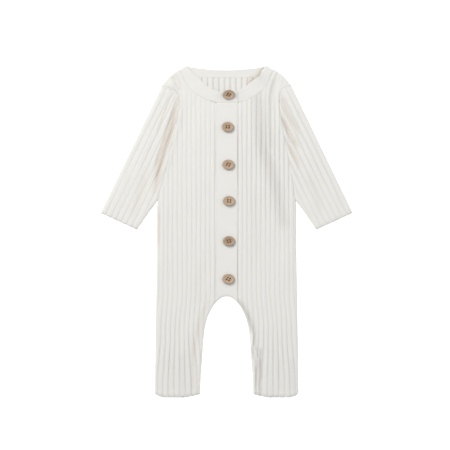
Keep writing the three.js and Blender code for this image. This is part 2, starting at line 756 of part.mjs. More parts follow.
// Neckband. It starts on top at the centre front, goes round by the wearer's right shoulder and the
// back, and comes back under its own start.
const NECKBAND = {
  frontLevel: 3.95, backLevel: NECKBAND_WALL / 2, overLevel: 4.95, underLevel: 2.9,
  overlapFrom: 17, overlapTo: 40, lift: 3, liftFrom: 10, liftTo: 45, underEnd: 13,
};
const BAND_SECTION = [
  { across: 0, up: -0.5 }, { across: 0, up: 0.5 }, { across: 0.07, up: 1 }, { across: 0.93, up: 1 },
  { across: 1, up: 0.6 }, { across: 1, up: -0.6 }, { across: 0.93, up: -1 }, { across: 0.07, up: -1 },
];
const FOLD_CORNER = { freeOut: 57.5, freeY: 247.05, seamOut: 68.4, seamY: 240.85 };
const FOLD_STEPS = 4;
const BACK_STATIONS = 16;

function bandSection({ free, seam, normal, level, lift = 0 }) {
  return BAND_SECTION.map(({ across, up }) => {
    const reach = (up * NECKBAND_WALL) / 2;
    return {
      x: free.x + (seam.x - free.x) * across + normal.x * reach,
      y: free.y + (seam.y - free.y) * across + normal.y * reach,
      z: level + lift * (1 - across) + normal.z * reach,
    };
  });
}

function neckband(name) {
  const flat = { x: 0, y: 0, z: 1 };
  const halfGap = SEAM_GAP / 2;
  const { frontLevel, backLevel } = NECKBAND;
  const station = (x, row, side) => {
    const near = 1 - smooth(Math.abs(x), NECKBAND.overlapFrom, NECKBAND.overlapTo);
    const end = side < 0 ? NECKBAND.overLevel : NECKBAND.underLevel;
    const lift = NECKBAND.lift * (1 - smooth(Math.abs(x), NECKBAND.liftFrom, NECKBAND.liftTo));
    return bandSection({ ...row, normal: flat, level: frontLevel + (end - frontLevel) * near, lift });
  };
  const middle = (x, side) => {
    const row = { free: { x, y: NECK_CENTRE.freeY }, seam: { x, y: NECK_CENTRE.seamY + SEAM_GAP } };
    return station(x, row, side);
  };
  const frontStations = (side) => NECK.map((row) => {
    const seamX = side * (row.out - halfGap * lean(NECK, row.y));
    const seam = { x: seamX, y: row.y + (row === NECK.at(-1) ? SEAM_GAP : 0) };
    return station(seamX, { free: { x: side * row.freeOut, y: row.freeY }, seam }, side);
  });
  const run = { x: FOLD_CORNER.seamOut - FOLD_CORNER.freeOut, y: FOLD_CORNER.seamY - FOLD_CORNER.freeY };
  const runLength = Math.hypot(run.x, run.y);
  const shoulderFold = (side) => {
    const radius = (frontLevel - backLevel) / 2;
    const outward = { x: (side * -run.y) / runLength, y: run.x / runLength };
    const sections = [];
    for (let i = 1; i < FOLD_STEPS; i += 1) {
      const angle = (Math.PI * i) / FOLD_STEPS;
      const shift = radius * Math.sin(angle);
      const normal = {
        x: outward.x * Math.sin(angle), y: outward.y * Math.sin(angle), z: Math.cos(angle),
      };
      const free = {
        x: side * FOLD_CORNER.freeOut + outward.x * shift, y: FOLD_CORNER.freeY + outward.y * shift,
      };
      const seam = {
        x: side * FOLD_CORNER.seamOut + outward.x * shift, y: FOLD_CORNER.seamY + outward.y * shift,
      };
      const level = backLevel + radius + radius * Math.cos(angle);
      sections.push(bandSection({ free, seam, normal, level }));
    }
    return sections;
  };
  const backStations = [];
  for (let i = 0; i <= BACK_STATIONS; i += 1) {
    const part = (2 * i) / BACK_STATIONS - 1;
    const x = part * FOLD_CORNER.seamOut;
    const seamY = BACK_NECK.centreY + BACK_NECK.rise * (x / BACK_NECK.out) ** 2 + halfGap;
    const free = {
      x: part * FOLD_CORNER.freeOut, y: BACK_NECK.freeCentreY + BACK_NECK.freeRise * part ** 2,
    };
    const normal = { x: 0, y: 0, z: -1 };
    backStations.push(bandSection({ free, seam: { x, y: seamY }, normal, level: backLevel }));
  }
  const under = [middle(0, 1), middle(-NECKBAND.underEnd, 1)];
  const sections = [
    middle(BAND_HALF_WIDTH - SEAM_GAP, -1), middle(0, -1),
    ...frontStations(-1).reverse(), ...shoulderFold(-1),
    ...backStations,
    ...shoulderFold(1).reverse(), ...frontStations(1), ...under,
  ];
  return loft(name, sections, BAND_CLOTH);
}

// Button bands. Their lower ends follow the crotch, where the top band rounds over.
const BAND_COLUMNS = [-1, -0.93, -0.5, 0, 0.5, 0.93, 1];
const BAND_LEVELS = [192.4, 150, 100, 45, -15, -60, -80];
const BAND_END_ROWS = [
  { skin: 3.6, lining: 3.6 },
  { skin: 1.8, lining: 2.6 },
  { skin: 0.5, lining: 1.9 },
  { skin: 0, lining: 1.6 },
];
const EDGE_DROP = 0.5;
const UNDER_BAND = { left: -14, right: 16.6, top: 192.3, clear: 15 };

const archY = (x) => lookUp(INSEAM, 'out', 'y', Math.abs(x));

function placketTop(name) {
  const wall = new Wall();
  const row = (at, level, hem) => BAND_COLUMNS.map((part) => {
    const x = part * (BAND_HALF_WIDTH - SEAM_GAP / 2);
    const y = at(x);
    const drop = hem === 0 && Math.abs(part) === 1 ? EDGE_DROP : 0;
    const distance = Math.max(0, foldDistance(x, y) - hem);
    const radius = FOLD_RADIUS - hem;
    const edge = SEAM_LEVEL + SEAM_GAP / 2;
    return { place: x, x, y, z: edge + (level - drop - edge) * rounding(distance, radius) };
  });
  const rows = BAND_LEVELS.map((y) => [() => y, () => y]);
  for (const { skin, lining } of BAND_END_ROWS) {
    rows.push([(x) => archY(x) + skin * crotchLean, (x) => archY(x) + lining * crotchLean]);
  }
  const added = rows.map(([skinAt, liningAt]) => ({
    skin: wall.add(row(skinAt, BAND_TOP, 0)),
    lining: wall.add(row(liningAt, BAND_TOP - BAND_WALL, WALL)),
  }));
  wall.join(added);
  wall.close(added[0], false);
  wall.close(added.at(-1), true);
  return wall.mesh(name, BAND_CLOTH);
}

function placketUnder(name) {
  const { left, right, top, clear } = UNDER_BAND;
  const upper = BAND_TOP - BAND_WALL - SEAM_GAP;
  const lower = upper - UNDER_BAND_WALL;
  const rows = [() => top, () => 0, (x) => archY(x) + clear];
  const sections = rows.map((at) => [
    { x: left, y: at(left), z: lower }, { x: 0, y: at(0), z: lower }, { x: right, y: at(right), z: lower },
    { x: right, y: at(right), z: upper }, { x: 0, y: at(0), z: upper }, { x: left, y: at(left), z: upper },
  ]);
  return loft(name, sections, BAND_CLOTH);
}

// Buttons
const BUTTON_PROFILE = [
  { r: 0, z: 0 }, { r: 7.6, z: 0 }, { r: 8.7, z: 0.6 }, { r: 9, z: 1.5 }, { r: 8.6, z: 2.5 },
  { r: 7.7, z: 2.9 }, { r: 6.6, z: 2.6 }, { r: 5.6, z: 2.0 }, { r: 0, z: 1.9 },
];

const wasm = await Module();
wasm.setup();

function toManifold(geometry) {
  const bare = geometry.clone();
  bare.deleteAttribute('normal');
  bare.deleteAttribute('uv');
  const merged = mergeVertices(bare, 1e-4);
  return new wasm.Manifold(new wasm.Mesh({
    numProp: 3,
    vertProperties: new Float32Array(merged.getAttribute('position').array),
    triVerts: new Uint32Array(merged.getIndex().array),
  }));
}

function buttonShape() {
  const profile = BUTTON_PROFILE.map(({ r, z }) => new THREE.Vector2(r, z));
  const disc = new THREE.LatheGeometry(profile, BUTTON_SIDES).rotateX(Math.PI / 2);
  let body = toManifold(disc);
  for (const [sideX, sideY] of [[-1, -1], [1, -1], [1, 1], [-1, 1]]) {
    const pin = new THREE.CylinderGeometry(HOLE_RADIUS, HOLE_RADIUS, BUTTON_RADIUS, HOLE_SIDES);
    pin.rotateX(Math.PI / 2).translate(sideX * HOLE_OFFSET, sideY * HOLE_OFFSET, 0);
    body = body.subtract(toManifold(pin));
  }
  return body.getMesh();
}

const buttonMesh = buttonShape();

// Height of the cloth under a button's lowest edge.
function seatHeight({ y, tilt }) {
  if (y < NECK_CENTRE.seamY) {
    return BAND_TOP;
  }
  const lowestY = y - Math.sign(tilt) * BUTTON_RADIUS * BUTTON_OVAL;
  const across = (NECK_CENTRE.freeY - lowestY) / (NECK_CENTRE.freeY - NECK_CENTRE.seamY);
  return NECKBAND.overLevel + NECKBAND_WALL / 2 + NECKBAND.lift * (1 - across) + SEAM_GAP;
}

function button(name, place) {
  const angle = THREE.MathUtils.degToRad(place.tilt);
  const lowest = Math.min(...BUTTON_PROFILE.map(({ r, z }) =>
    z * Math.cos(angle) - r * BUTTON_OVAL * Math.abs(Math.sin(angle))));
  const shape = new THREE.Matrix4().makeTranslation(place.x, place.y, seatHeight(place) + SEAM_GAP - lowest)
    .multiply(new THREE.Matrix4().makeRotationX(angle))
    .multiply(new THREE.Matrix4().makeScale(1, BUTTON_OVAL, 1))
    .multiply(new THREE.Matrix4().makeRotationZ(THREE.MathUtils.degToRad(place.turn)));
  const points = [];
  for (let i = 0; i < buttonMesh.vertProperties.length; i += 3) {
    const corner = new THREE.Vector3().fromArray(buttonMesh.vertProperties, i).applyMatrix4(shape);
    points.push(corner.x, corner.y, corner.z);
  }
  return solid(name, points, Array.from(buttonMesh.triVerts), WOOD);
}

const romper = new THREE.Group();
romper.add(
  back('back'),
  front('front_right', -1),
  front('front_left', 1),
  sleeve('sleeve_right', -1),
  sleeve('sleeve_left', 1),
  neckband('neckband'),
  placketTop('placket_top'),
  placketUnder('placket_under'),
  ...BUTTONS.map((place, i) => button(`button_${i + 1}`, place)),
);

export default romper;
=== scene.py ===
import math

import bmesh
import bpy
import numpy as np
from mathutils import Matrix, Vector


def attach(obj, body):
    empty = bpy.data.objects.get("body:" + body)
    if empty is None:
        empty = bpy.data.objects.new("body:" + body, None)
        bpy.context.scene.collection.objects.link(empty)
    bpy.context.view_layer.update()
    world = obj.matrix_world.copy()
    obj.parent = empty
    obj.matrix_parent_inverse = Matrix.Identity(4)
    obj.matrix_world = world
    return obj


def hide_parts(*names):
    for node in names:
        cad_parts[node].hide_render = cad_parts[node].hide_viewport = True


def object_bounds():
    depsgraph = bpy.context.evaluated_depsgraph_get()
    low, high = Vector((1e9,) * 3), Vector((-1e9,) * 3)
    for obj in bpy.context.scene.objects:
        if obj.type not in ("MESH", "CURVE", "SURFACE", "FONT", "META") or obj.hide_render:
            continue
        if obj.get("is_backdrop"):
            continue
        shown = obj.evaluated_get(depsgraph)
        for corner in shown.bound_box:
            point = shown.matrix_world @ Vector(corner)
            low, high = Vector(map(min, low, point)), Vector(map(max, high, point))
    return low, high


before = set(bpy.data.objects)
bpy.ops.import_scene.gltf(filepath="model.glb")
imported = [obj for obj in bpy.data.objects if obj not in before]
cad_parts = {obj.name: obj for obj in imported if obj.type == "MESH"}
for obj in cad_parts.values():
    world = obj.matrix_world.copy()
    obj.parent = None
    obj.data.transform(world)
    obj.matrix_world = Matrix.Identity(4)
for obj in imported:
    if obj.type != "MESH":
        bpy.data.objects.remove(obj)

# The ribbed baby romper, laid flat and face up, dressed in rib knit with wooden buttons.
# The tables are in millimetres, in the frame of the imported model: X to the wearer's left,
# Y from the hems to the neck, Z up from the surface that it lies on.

CAD_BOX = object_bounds()

bl_info = {
    "name": "Ribbed baby romper",
    "version": (1, 0),
    "blender": (4, 5, 0),
    "location": "View3D > Sidebar > Romper",
    "description": "Makes a laid rib knit romper with a buttoned band, and its studio",
    "category": "Object",
}

MM = 0.001

# Sewing pattern, as half tables: distance from the centre line at a height

SHOULDER = [(243, 71.1), (237.5, 79.6), (230.5, 87.3), (224.5, 92.7), (218, 97.3)]
SIDE = [(45.8, 103.4), (36, 104.4), (-13, 104.6), (-97, 105.8), (-168, 107), (-242.4, 108)]
CROTCH = -97.6
INSEAM = [
    (CROTCH, 0), (-99, 6.4), (-103, 12.2), (-112, 19.9), (-121, 25), (-134, 30), (-150, 33.2),
    (-168, 35), (-190, 36.4), (-212, 38.2), (-244, 39.8),
]
# Leg hem: distance out, height
HEM = [(39.8, -244), (52, -246.8), (66, -248.9), (91, -248.9), (102.8, -246.4), (108, -242.4)]
ARMHOLE_RIGHT = [
    (218, 97.3), (214.5, 85.4), (209.5, 76), (202, 71), (190, 69.9), (171, 73),
    (150, 77.5), (125, 83), (87, 91.8), (45.8, 103.4),
]
ARMHOLE_LEFT = [
    (218, 97.3), (214.5, 84.2), (209.5, 81), (202, 79.7), (190, 79.4), (171, 81.8),
    (150, 85.2), (125, 89.9), (87, 96.9), (45.8, 103.4),
]
# Neck rows: height, seam, free edge across, free edge height
NECK = [
    (240.8, 68.6, 57.5, 246.8), (237.5, 67.4, 54.2, 242.4), (230.5, 65, 50, 238),
    (224.5, 62.3, 46.5, 234.3), (218, 58.6, 42.4, 230), (214.5, 56, 39.5, 226.9),
    (209.5, 51.3, 35, 222.6), (202, 40.5, 27.5, 216.3), (196.5, 28.2, 19.5, 211.8),
    (193, 17, 12, 209.6),
]
NECK_SEAM_CENTRE = 192.8
NECK_FREE_CENTRE = 208.8
BACK_NECK_OUT = 68.6
BACK_NECK_CENTRE = 230.3
BACK_NECK_RISE = 10.4
BACK_NECK_CURVE = 5
BACK_FREE_CENTRE = 241.9
BACK_FREE_RISE = 5.15
FOLD_CORNER = ((57.5, 247.05), (68.4, 240.85))
CORNER_SLOPE = 0.57
# How far the back's rows sag in the middle, under the neck opening
BACK_SAG = [(240.65, 10.4), (237.5, 10.6), (230.5, 8.5), (224.5, 7), (218, 5.5), (209.5, 3), (202, 0)]
TIP = (97.3, 218.0)
CUFF = (189.2, 27.7)
CUFF_UNDERARM = (134.2, 2.3)
UNDERARM = (113.3, 32.6)

# Heights at which the rows' ends change, and the mean depth of the hem's rows
TIP_Y = 218
UNDERARM_Y = 45.8
NECK_END_Y = 193
LEG_HEM_Y = -222
HEM_DEPTH = 20
LEG_PARTS = np.linspace(0.12, 1, 9)

# Levels of the cloth as it lies
FOLD_RADIUS = 3.6
SEAM_LEVEL = 2.3
TOP_LEVEL = 4.55
BAND_HALF_WIDTH = 17.0
BAND_TOP = 5.15
SEAM_LINE = 0.07
TOP_EDGE = SEAM_LEVEL + SEAM_LINE / 2
UNDER_EDGE = SEAM_LEVEL - SEAM_LINE / 2

# Soft folds of the front and the sleeve tops. Each is a path of points with a half width and a
# height, and a tint for the warm shade that gathers in a deep one.
TOP_FOLDS = [
    # fold between the wearer's right sleeve and the body
    ([(-73, 197), (-81, 163), (-90, 133), (-99, 105), (-107, 62)], 5.0, -1.2, 0.85),
    ([(-80, 190), (-91, 146), (-101, 106), (-109, 76)], 4.2, 1.7, 0.0),
    ([(-67, 196), (-73, 160), (-81, 128), (-91, 88)], 4.5, 1.3, 0.0),
    ([(-86, 168), (-97, 128), (-108, 92)], 2.4, -1.1, 0.6),
    ([(-70, 203), (-77, 191), (-87, 160), (-96, 131), (-104, 107), (-109, 85)], 1.3, -0.9, 1.2),
    ([(-73.5, 174), (-85.5, 136), (-94, 112), (-103, 84), (-107, 56)], 1.4, -0.9, 1.2),
    ([(-78, 209), (-85.5, 198), (-94, 176), (-103, 147)], 1.2, -0.8, 0.8),
    ([(-80, 165), (-91, 132), (-99, 104)], 1.3, 0.7, 0.0),
    # rolled shoulder above the sleeve head
    ([(-81, 234), (-72, 222), (-68, 208)], 4.0, -1.9, 0.2),
    ([(-88, 223), (-79, 215)], 6.0, 1.5, 0.0),
    ([(-95, 215), (-84, 210.5), (-77, 204)], 2.6, -0.9, 0.1),
    # three folds that run out from the wearer's left armhole
    ([(81, 204), (92, 176), (110, 146)], 3.0, -1.9, 0.7),
    ([(82, 174), (95, 143), (107, 126)], 3.2, -2.1, 0.9),
    ([(91, 132), (103, 110), (110, 96)], 3.0, -1.5, 0.6),
    ([(87, 190), (99, 160), (111, 134)], 4.0, 1.3, 0.0),
    ([(79, 186), (84, 158), (93, 128)], 4.0, 1.5, 0.0),
    # hollow of the wearer's left chest, with a crease above it
    ([(78, 240), (73, 222), (68, 205), (65, 190)], 2.6, -1.2, 0.15),
    ([(46, 206), (50, 165), (54, 126), (65, 97), (75, 66), (85, 14)], 8.5, -1.3, 0.06),
    ([(69, 224), (67, 198), (64, 162), (67, 126)], 4.0, -0.8, 0.08),
    ([(35, 186), (39, 130), (50, 86), (60, 44)], 7.5, 0.9, 0.0),
    ([(76, 206), (77, 176), (81, 146)], 5.0, 1.2, 0.0),
    # body
    ([(-101.5, 34), (-102, 6), (-102.5, -24)], 2.6, -0.3, 0.55),
    ([(-40, 170), (-46, 110), (-44, 40)], 10.0, 0.6, 0.0),
    ([(-88, 50), (-92, 0), (-90, -60)], 8.0, 0.6, 0.0),
    ([(88, 40), (92, -20), (88, -80)], 9.0, 0.7, 0.0),
    ([(40, 60), (46, 0), (42, -60)], 10.0, -0.5, 0.1),
    ([(-30, -40), (-42, -84), (-40, -120)], 9.0, -0.6, 0.1),
    # wearer's left leg
    ([(22, -104), (31, -122), (37.5, -140), (43, -149), (43.5, -166), (45.5, -176)], 1.9, -1.4, 0.1),
    ([(36.5, -142), (38.8, -152), (39, -170), (43.5, -180), (47.5, -193), (47.5, -210)], 1.9, 2.6, 0.0),
    ([(37.2, -172), (38.4, -180), (42, -190), (44.8, -204), (44.8, -228), (43.2, -246)], 1.4, -1.4, 0.1),
    ([(40, -192), (41.8, -204), (41.8, -230)], 1.5, 1.0, 0.0),
    ([(50.5, -176), (50.9, -196), (50.9, -218), (49.2, -228), (49.2, -247)], 2.0, -1.5, 0.2),
    ([(60, -190), (61, -246)], 5.0, 0.8, 0.0),
    # wearer's right leg
    ([(-27, -106), (-38, -132), (-47, -168), (-49, -200)], 4.0, -0.9, 0.35),
    ([(-36, -160), (-42, -200), (-44, -246)], 3.2, 0.9, 0.0),
    ([(-49, -186), (-50, -216), (-51, -247)], 2.6, -1.1, 0.4),
    ([(-60, -140), (-62, -190), (-61, -240)], 6.0, 0.7, 0.0),
    ([(-80, -180), (-82, -244)], 5.0, -0.6, 0.1),
    ([(80, -190), (83, -246)], 5.0, -0.6, 0.1),
    # sleeves
    ([(-112, 148), (-128, 112), (-141, 70)], 8.0, 1.0, 0.0),
    ([(-118, 86), (-128, 58), (-138, 24)], 6.0, -0.9, 0.25),
    ([(-146, 96), (-158, 62), (-166, 34)], 7.0, 0.7, 0.0),
    ([(116, 128), (128, 98), (142, 60)], 7.0, 0.8, 0.0),
    ([(124, 84), (134, 56), (144, 26)], 6.0, -0.8, 0.2),
    ([(150, 92), (160, 62), (168, 34)], 7.0, 0.6, 0.0),
]

# Grey shadows of the fronts: path, half width and depth of tone
SHADOWS = [
    # hollow of the wearer's left chest
    ([(46, 206), (50, 165), (54, 126), (65, 97), (75, 66), (85, 14)], 8.5, 1.4),
    ([(69, 224), (67, 198), (64, 162), (67, 126)], 4.0, 1.1),
    # wearer's left leg, beside its ridge and at the inner edge
    ([(14, -103.5), (20, -108), (26, -115.5), (31, -124.5), (36, -137), (38.5, -146)], 4.0, 2.6),
    ([(43, -149), (43.4, -168), (45.6, -177)], 1.7, 1.4),
    ([(37.4, -172), (38.5, -180), (42, -190), (44.6, -204), (44.8, -228), (43.2, -245)], 1.3, 0.9),
    ([(50.5, -178), (50.9, -196), (50.9, -217), (49.4, -226), (49.4, -245)], 1.8, 3.4),
    ([(97, -196), (98, -236)], 4.5, 0.6),
    # wearer's right leg
    ([(-67, -188), (-66, -242)], 3.5, 0.7),
    ([(-33, -128), (-40, -158)], 3.0, 0.5),
]

# Line under the neckband's lifted edge, at the wearer's left, where a warm shadow lies
LIFTED_EDGE = [
    (56.5, 245.5), (54.5, 241), (52.5, 237.5), (50.3, 234.3), (46.3, 230), (41, 227),
    (36, 223.8),
]

# Soft folds of the underside, where the cloth lifts a little off the surface, each with a tint of
# painted warm shade
UNDER_FOLDS = [
    ([(-60, 205), (-66, 150), (-84, 96)], 7.0, 0.8, 0.3),
    ([(62, 198), (72, 140), (86, 84)], 6.0, 0.8, 0.3),
    ([(-22, 214), (-14, 150), (-20, 92)], 9.0, 0.6, 0.1),
    ([(30, 168), (24, 96), (34, 30)], 8.0, 0.7, 0.2),
    ([(-54, 40), (-60, -30), (-52, -96)], 9.0, 0.7, 0.2),
    ([(58, -10), (66, -84), (60, -150)], 8.0, 0.7, 0.2),
    ([(-2, 20), (4, -40), (2, -84)], 7.0, 0.6, 0.2),
    ([(-30, -104), (-48, -136), (-52, -190)], 5.0, 0.9, 0.4),
    ([(32, -112), (50, -150), (54, -206)], 5.0, 0.9, 0.4),
    ([(-74, -150), (-78, -236)], 6.0, 0.7, 0.2),
    ([(84, -160), (80, -238)], 6.0, 0.7, 0.2),
    ([(-104, 160), (-122, 110), (-132, 56)], 6.0, 0.8, 0.3),
    ([(-130, 132), (-148, 88), (-162, 48)], 5.0, 0.6, 0.2),
    ([(106, 150), (124, 104), (138, 50)], 6.0, 0.8, 0.3),
    ([(134, 124), (150, 82), (166, 44)], 5.0, 0.6, 0.2),
]

# Places where the ribs lie flatter or stand higher: centre, reach and share of their height, which also
# scales the painted shade in their valleys
SOFT_RIBS = [
    (-58, 216, 26, 0.35), (-84, 222, 16, 0.1), (58, 222, 18, 0.5), (-150, 70, 44, 0.4),
    (-122, 150, 24, 0.7), (-30, 186, 22, 0.6), (-88, 150, 12, 0.6), (82, 214, 14, 0.2),
    (126, 44, 26, 0.6), (154, 110, 44, 1.7), (108, 186, 30, 1.5), (-48, 120, 46, 0.8),
    (56, 130, 44, 2.2), (70, 50, 46, 1.8), (-62, -196, 50, 2.1), (66, -190, 50, 2.0),
    (-60, 0, 60, 1.15),
]

# Buttons: centre, turn of the holes and tilt in degrees, tone from dark to light
BUTTONS = [
    (2.9, 205.0, -38, 30, 1.0), (1.8, 155.9, -4, -9, 0.40), (2.7, 99.5, -22, -9, 0.60),
    (3.6, 45.1, -4, -8, 0.70), (3.5, -14.9, 14, -9, 0.0), (2.7, -71.6, -28, -8, 0.62),
]
OVAL = 0.84
BUTTON_PROFILE = [
    (0, 0), (7.2, 0), (8.3, 0.35), (8.85, 0.95), (9.0, 1.5), (8.9, 2.1), (8.55, 2.6),
    (8.0, 2.88), (7.4, 2.88), (6.8, 2.66), (6.3, 2.3), (5.6, 2.02), (4.6, 1.92), (0, 1.9),
]


# Curves and fields

class Track:
    """A smooth curve through the rows of a table that never overshoots them."""

    def __init__(self, rows, column=1):
        rows = sorted(rows)
        self.key = np.array([row[0] for row in rows], float)
        self.value = np.array([row[column] for row in rows], float)
        step = np.diff(self.key)
        rise = np.diff(self.value) / step
        slope = np.zeros(len(self.key))
        slope[0], slope[-1] = rise[0], rise[-1]
        for i in range(1, len(rise)):
            if rise[i - 1] * rise[i] > 0:
                a, b = 2 * step[i] + step[i - 1], step[i] + 2 * step[i - 1]
                slope[i] = (a + b) / (a / rise[i - 1] + b / rise[i])
        self.slope = slope

    def __call__(self, at):
        at = np.clip(at, self.key[0], self.key[-1])
        i = np.clip(np.searchsorted(self.key, at, "right") - 1, 0, len(self.key) - 2)
        step = self.key[i + 1] - self.key[i]
        t = (at - self.key[i]) / step
        return (
            (2 * t ** 3 - 3 * t ** 2 + 1) * self.value[i]
            + (t ** 3 - 2 * t ** 2 + t) * step * self.slope[i]
            + (3 * t ** 2 - 2 * t ** 3) * self.value[i + 1]
            + (t ** 3 - t ** 2) * step * self.slope[i + 1]
        )


shoulder_out = Track(SHOULDER)
side_out = Track(SIDE)
inseam_out = Track(INSEAM)
hem_y = Track(HEM)
armhole_out = {-1: Track(ARMHOLE_RIGHT), 1: Track(ARMHOLE_LEFT)}
neck_out = Track(NECK)
neck_free_out = Track(NECK, 2)
neck_free_y = Track(NECK, 3)
back_sag = Track(BACK_SAG)

# How the crotch seam leans beside the centre line, measured over this drop
CROTCH_DROP = 5.4
CROTCH_TILT = math.hypot(1, float(inseam_out(CROTCH - CROTCH_DROP)) / CROTCH_DROP)


def smooth(value, start, end):
    t = np.clip((value - start) / (end - start), 0, 1)
    return t * t * (3 - 2 * t)


def back_neck_y(x):
    """Height of the seam between the back and the neckband."""
    return BACK_NECK_CENTRE + BACK_NECK_RISE * np.abs(np.divide(x, BACK_NECK_OUT)) ** BACK_NECK_CURVE


def level_row(y):
    """The height of every point of a level row."""
    return lambda x: np.full(np.shape(x), float(y))


def toward_hem(part):
    """The heights of a row at this share of the way from the last level row to the leg's hem."""
    return lambda x: LEG_HEM_Y + part * (hem_y(np.abs(x)) - LEG_HEM_Y)


def lean(track, y):
    """How far a row runs sideways to move one unit away from an edge that leans."""
    return float(np.clip(math.hypot(1, (track(y - 1) - track(y + 1)) / 2), 1, 2.2))


def stretches(points):
    points = np.array(points, float)
    return np.hstack([points[:-1], points[1:]])


def nearest(x, y, lines):
    """Distance to the nearest stretch, and how far along all of them that is."""
    x1, y1, x2, y2 = lines.T
    dx, dy = x2 - x1, y2 - y1
    square = np.maximum(dx * dx + dy * dy, 1e-9)
    px, py = x[:, None] - x1, y[:, None] - y1
    t = np.clip((px * dx + py * dy) / square, 0, 1)
    distance = np.hypot(px - t * dx, py - t * dy)
    best = distance.argmin(axis=1)
    rows = np.arange(len(x))
    return distance[rows, best], (best + t[rows, best]) / len(lines)


def fold_lines():
    """The lines along which the laid garment folds or is sewn front to back."""
    across = [(shoulder_out(y), y) for y in np.linspace(243, 218, 14)] + [CUFF]
    under = [(SIDE[0][1], SIDE[0][0]), UNDERARM, CUFF_UNDERARM]
    side = [(side_out(y), y) for y in np.linspace(SIDE[0][0], SIDE[-1][0], 30)]
    heights = CROTCH + (INSEAM[-1][0] - CROTCH) * np.linspace(0, 1, 70) ** 2
    inseam = [(inseam_out(y), y) for y in heights]
    return np.vstack([stretches(line) for line in (across, under, side, inseam)])


FOLDS = fold_lines()


def fold_distance(x, y):
    return nearest(np.abs(x), y, FOLDS)[0]


def rounding(distance, radius):
    t = np.clip(1 - distance / radius, 0, 1)
    return np.sqrt(1 - t * t)


def folds_at(x, y, table):
    """Height and warm shade that a table of soft folds gives at these places."""
    height, shade = np.zeros(len(x)), np.zeros(len(x))
    for path, width, rise, tint in table:
        reach = 3.2 * width
        points = np.array(path)
        low, high = points.min(axis=0) - reach, points.max(axis=0) + reach
        near = (x > low[0]) & (x < high[0]) & (y > low[1]) & (y < high[1])
        if not near.any():
            continue
        distance, along = nearest(x[near], y[near], stretches(path))
        fade = np.clip(np.minimum(along, 1 - along) * 5, 0, 1)
        share = np.exp(-((distance / width) ** 2)) * (0.35 + 0.65 * fade * fade * (3 - 2 * fade))
        height[near] += rise * share
        shade[near] = np.maximum(shade[near], tint * share)
    return height, shade


def shadow_at(x, y):
    tone = np.zeros(len(x))
    for path, width, depth in SHADOWS:
        distance, _ = nearest(x, y, stretches(path))
        tone = np.maximum(tone, depth * np.exp(-((distance / width) ** 2)))
    return tone


# painted warm shadow beside the neckband's lifted edge, on the cloth under it
def painted_shadow_under_edge(x, y):
    distance, _ = nearest(x, y, stretches(LIFTED_EDGE))
    return 1.05 * np.exp(-((distance / 5.2) ** 2))


def unevenness(x, y):
    """The slow swell of cloth that nobody has pressed flat."""
    return (
        0.28 * np.sin(x / 23 + y / 61 + 0.7) * np.sin(y / 47 - x / 90)
        + 0.16 * np.sin(x / 11 - y / 33 + 2.1) * np.sin(y / 19 + x / 37)
    )


def rib_strength(x, y):
    strength = np.ones(len(x))
    for cx, cy, reach, left in SOFT_RIBS:
        near = np.exp(-(((x - cx) ** 2 + (y - cy) ** 2) / reach ** 2))
        strength *= 1 - (1 - left) * near
    return strength


RIB_STEPS = [0, 0.07, 0.14, 0.24, 0.38, 0.62, 0.76, 0.86, 0.93]


def rib_shape(count):
    """Height of a rib from 0 in its valley to 1 on its crest, and how deep in the valley it is."""
    part = np.abs(count - np.round(count))
    valley = np.exp(-((part / 0.13) ** 2))
    return 0.86 * (1 - valley) + 0.14 * np.sin(np.pi * part) ** 2, valley


def rib_relief(shape, strength, settings):
    """Height of the ribs, which come down to half of it where they lie flat."""
    return settings.rib_height / MM * (shape * strength + 0.5 * (1 - strength))


def shoulder_fan(y):
    return np.clip((y - 198) / 42, 0, 1) ** 2


def wander(count, y):
    return 0.34 * np.sin(y / 43 + 0.9 * count) + 0.18 * np.sin(y / 17 + 2.3 * count)


def rib_out(count, y, pitch):
    """Where a rib of the body lies: it fans at the shoulder and spreads down the leg."""
    fan = 12 * shoulder_fan(y)
    drift = 3.9 * smooth(-y, 88, 148)
    spread = 1.5 * (count - 7) * smooth(-y, 150, 232)
    return BAND_HALF_WIDTH + pitch * count + fan + drift + spread + wander(count, y)


# Rows of points. Each holds its place along the row, x, y, z, lay across, lay along, rib valley and warm
# shade; the last two are painted shade for the colour.

def row_of(*columns):
    return np.column_stack(np.broadcast_arrays(*[np.asarray(c, float) for c in columns]))


def top_folds(x, y, settings):
    """How far folds and swells lift the upper cloth, and their warm shade."""
    height, shade = folds_at(x, y, TOP_FOLDS)
    return np.clip(height * settings.fold_depth + unevenness(x, y), -1.5, 4.5), shade


def top_skin(x, y, relief, dip, settings):
    """The upper surface of the front and of the sleeve tops."""
    lift, shade = top_folds(x, y, settings)
    level = TOP_LEVEL + lift + relief - dip
    return TOP_EDGE + (level - TOP_EDGE) * rounding(fold_distance(x, y), FOLD_RADIUS), shade


def top_lining(x, y, settings):
    wall = settings.wall / MM
    level = np.maximum(0, TOP_LEVEL - wall + top_folds(x, y, settings)[0] - TOP_EDGE)
    distance = np.maximum(0, fold_distance(x, y) - wall)
    return TOP_EDGE + level * rounding(distance, FOLD_RADIUS - wall)


def under_skin(x, y, valley, settings):
    height, shade = folds_at(x, y, UNDER_FOLDS)
    lift = np.clip(height * settings.fold_depth, 0, 0.8) + 0.5 * valley
    return UNDER_EDGE - (UNDER_EDGE - lift) * rounding(fold_distance(x, y), FOLD_RADIUS), shade


def under_lining(x, y, settings):
    wall = settings.wall / MM
    distance = np.maximum(0, fold_distance(x, y) - wall)
    return UNDER_EDGE - (UNDER_EDGE - wall) * rounding(distance, FOLD_RADIUS - wall)


def seam_dip(distance, share, settings):
    return share * settings.seam_dip / MM * (1 - smooth(distance, 0, 2.6))


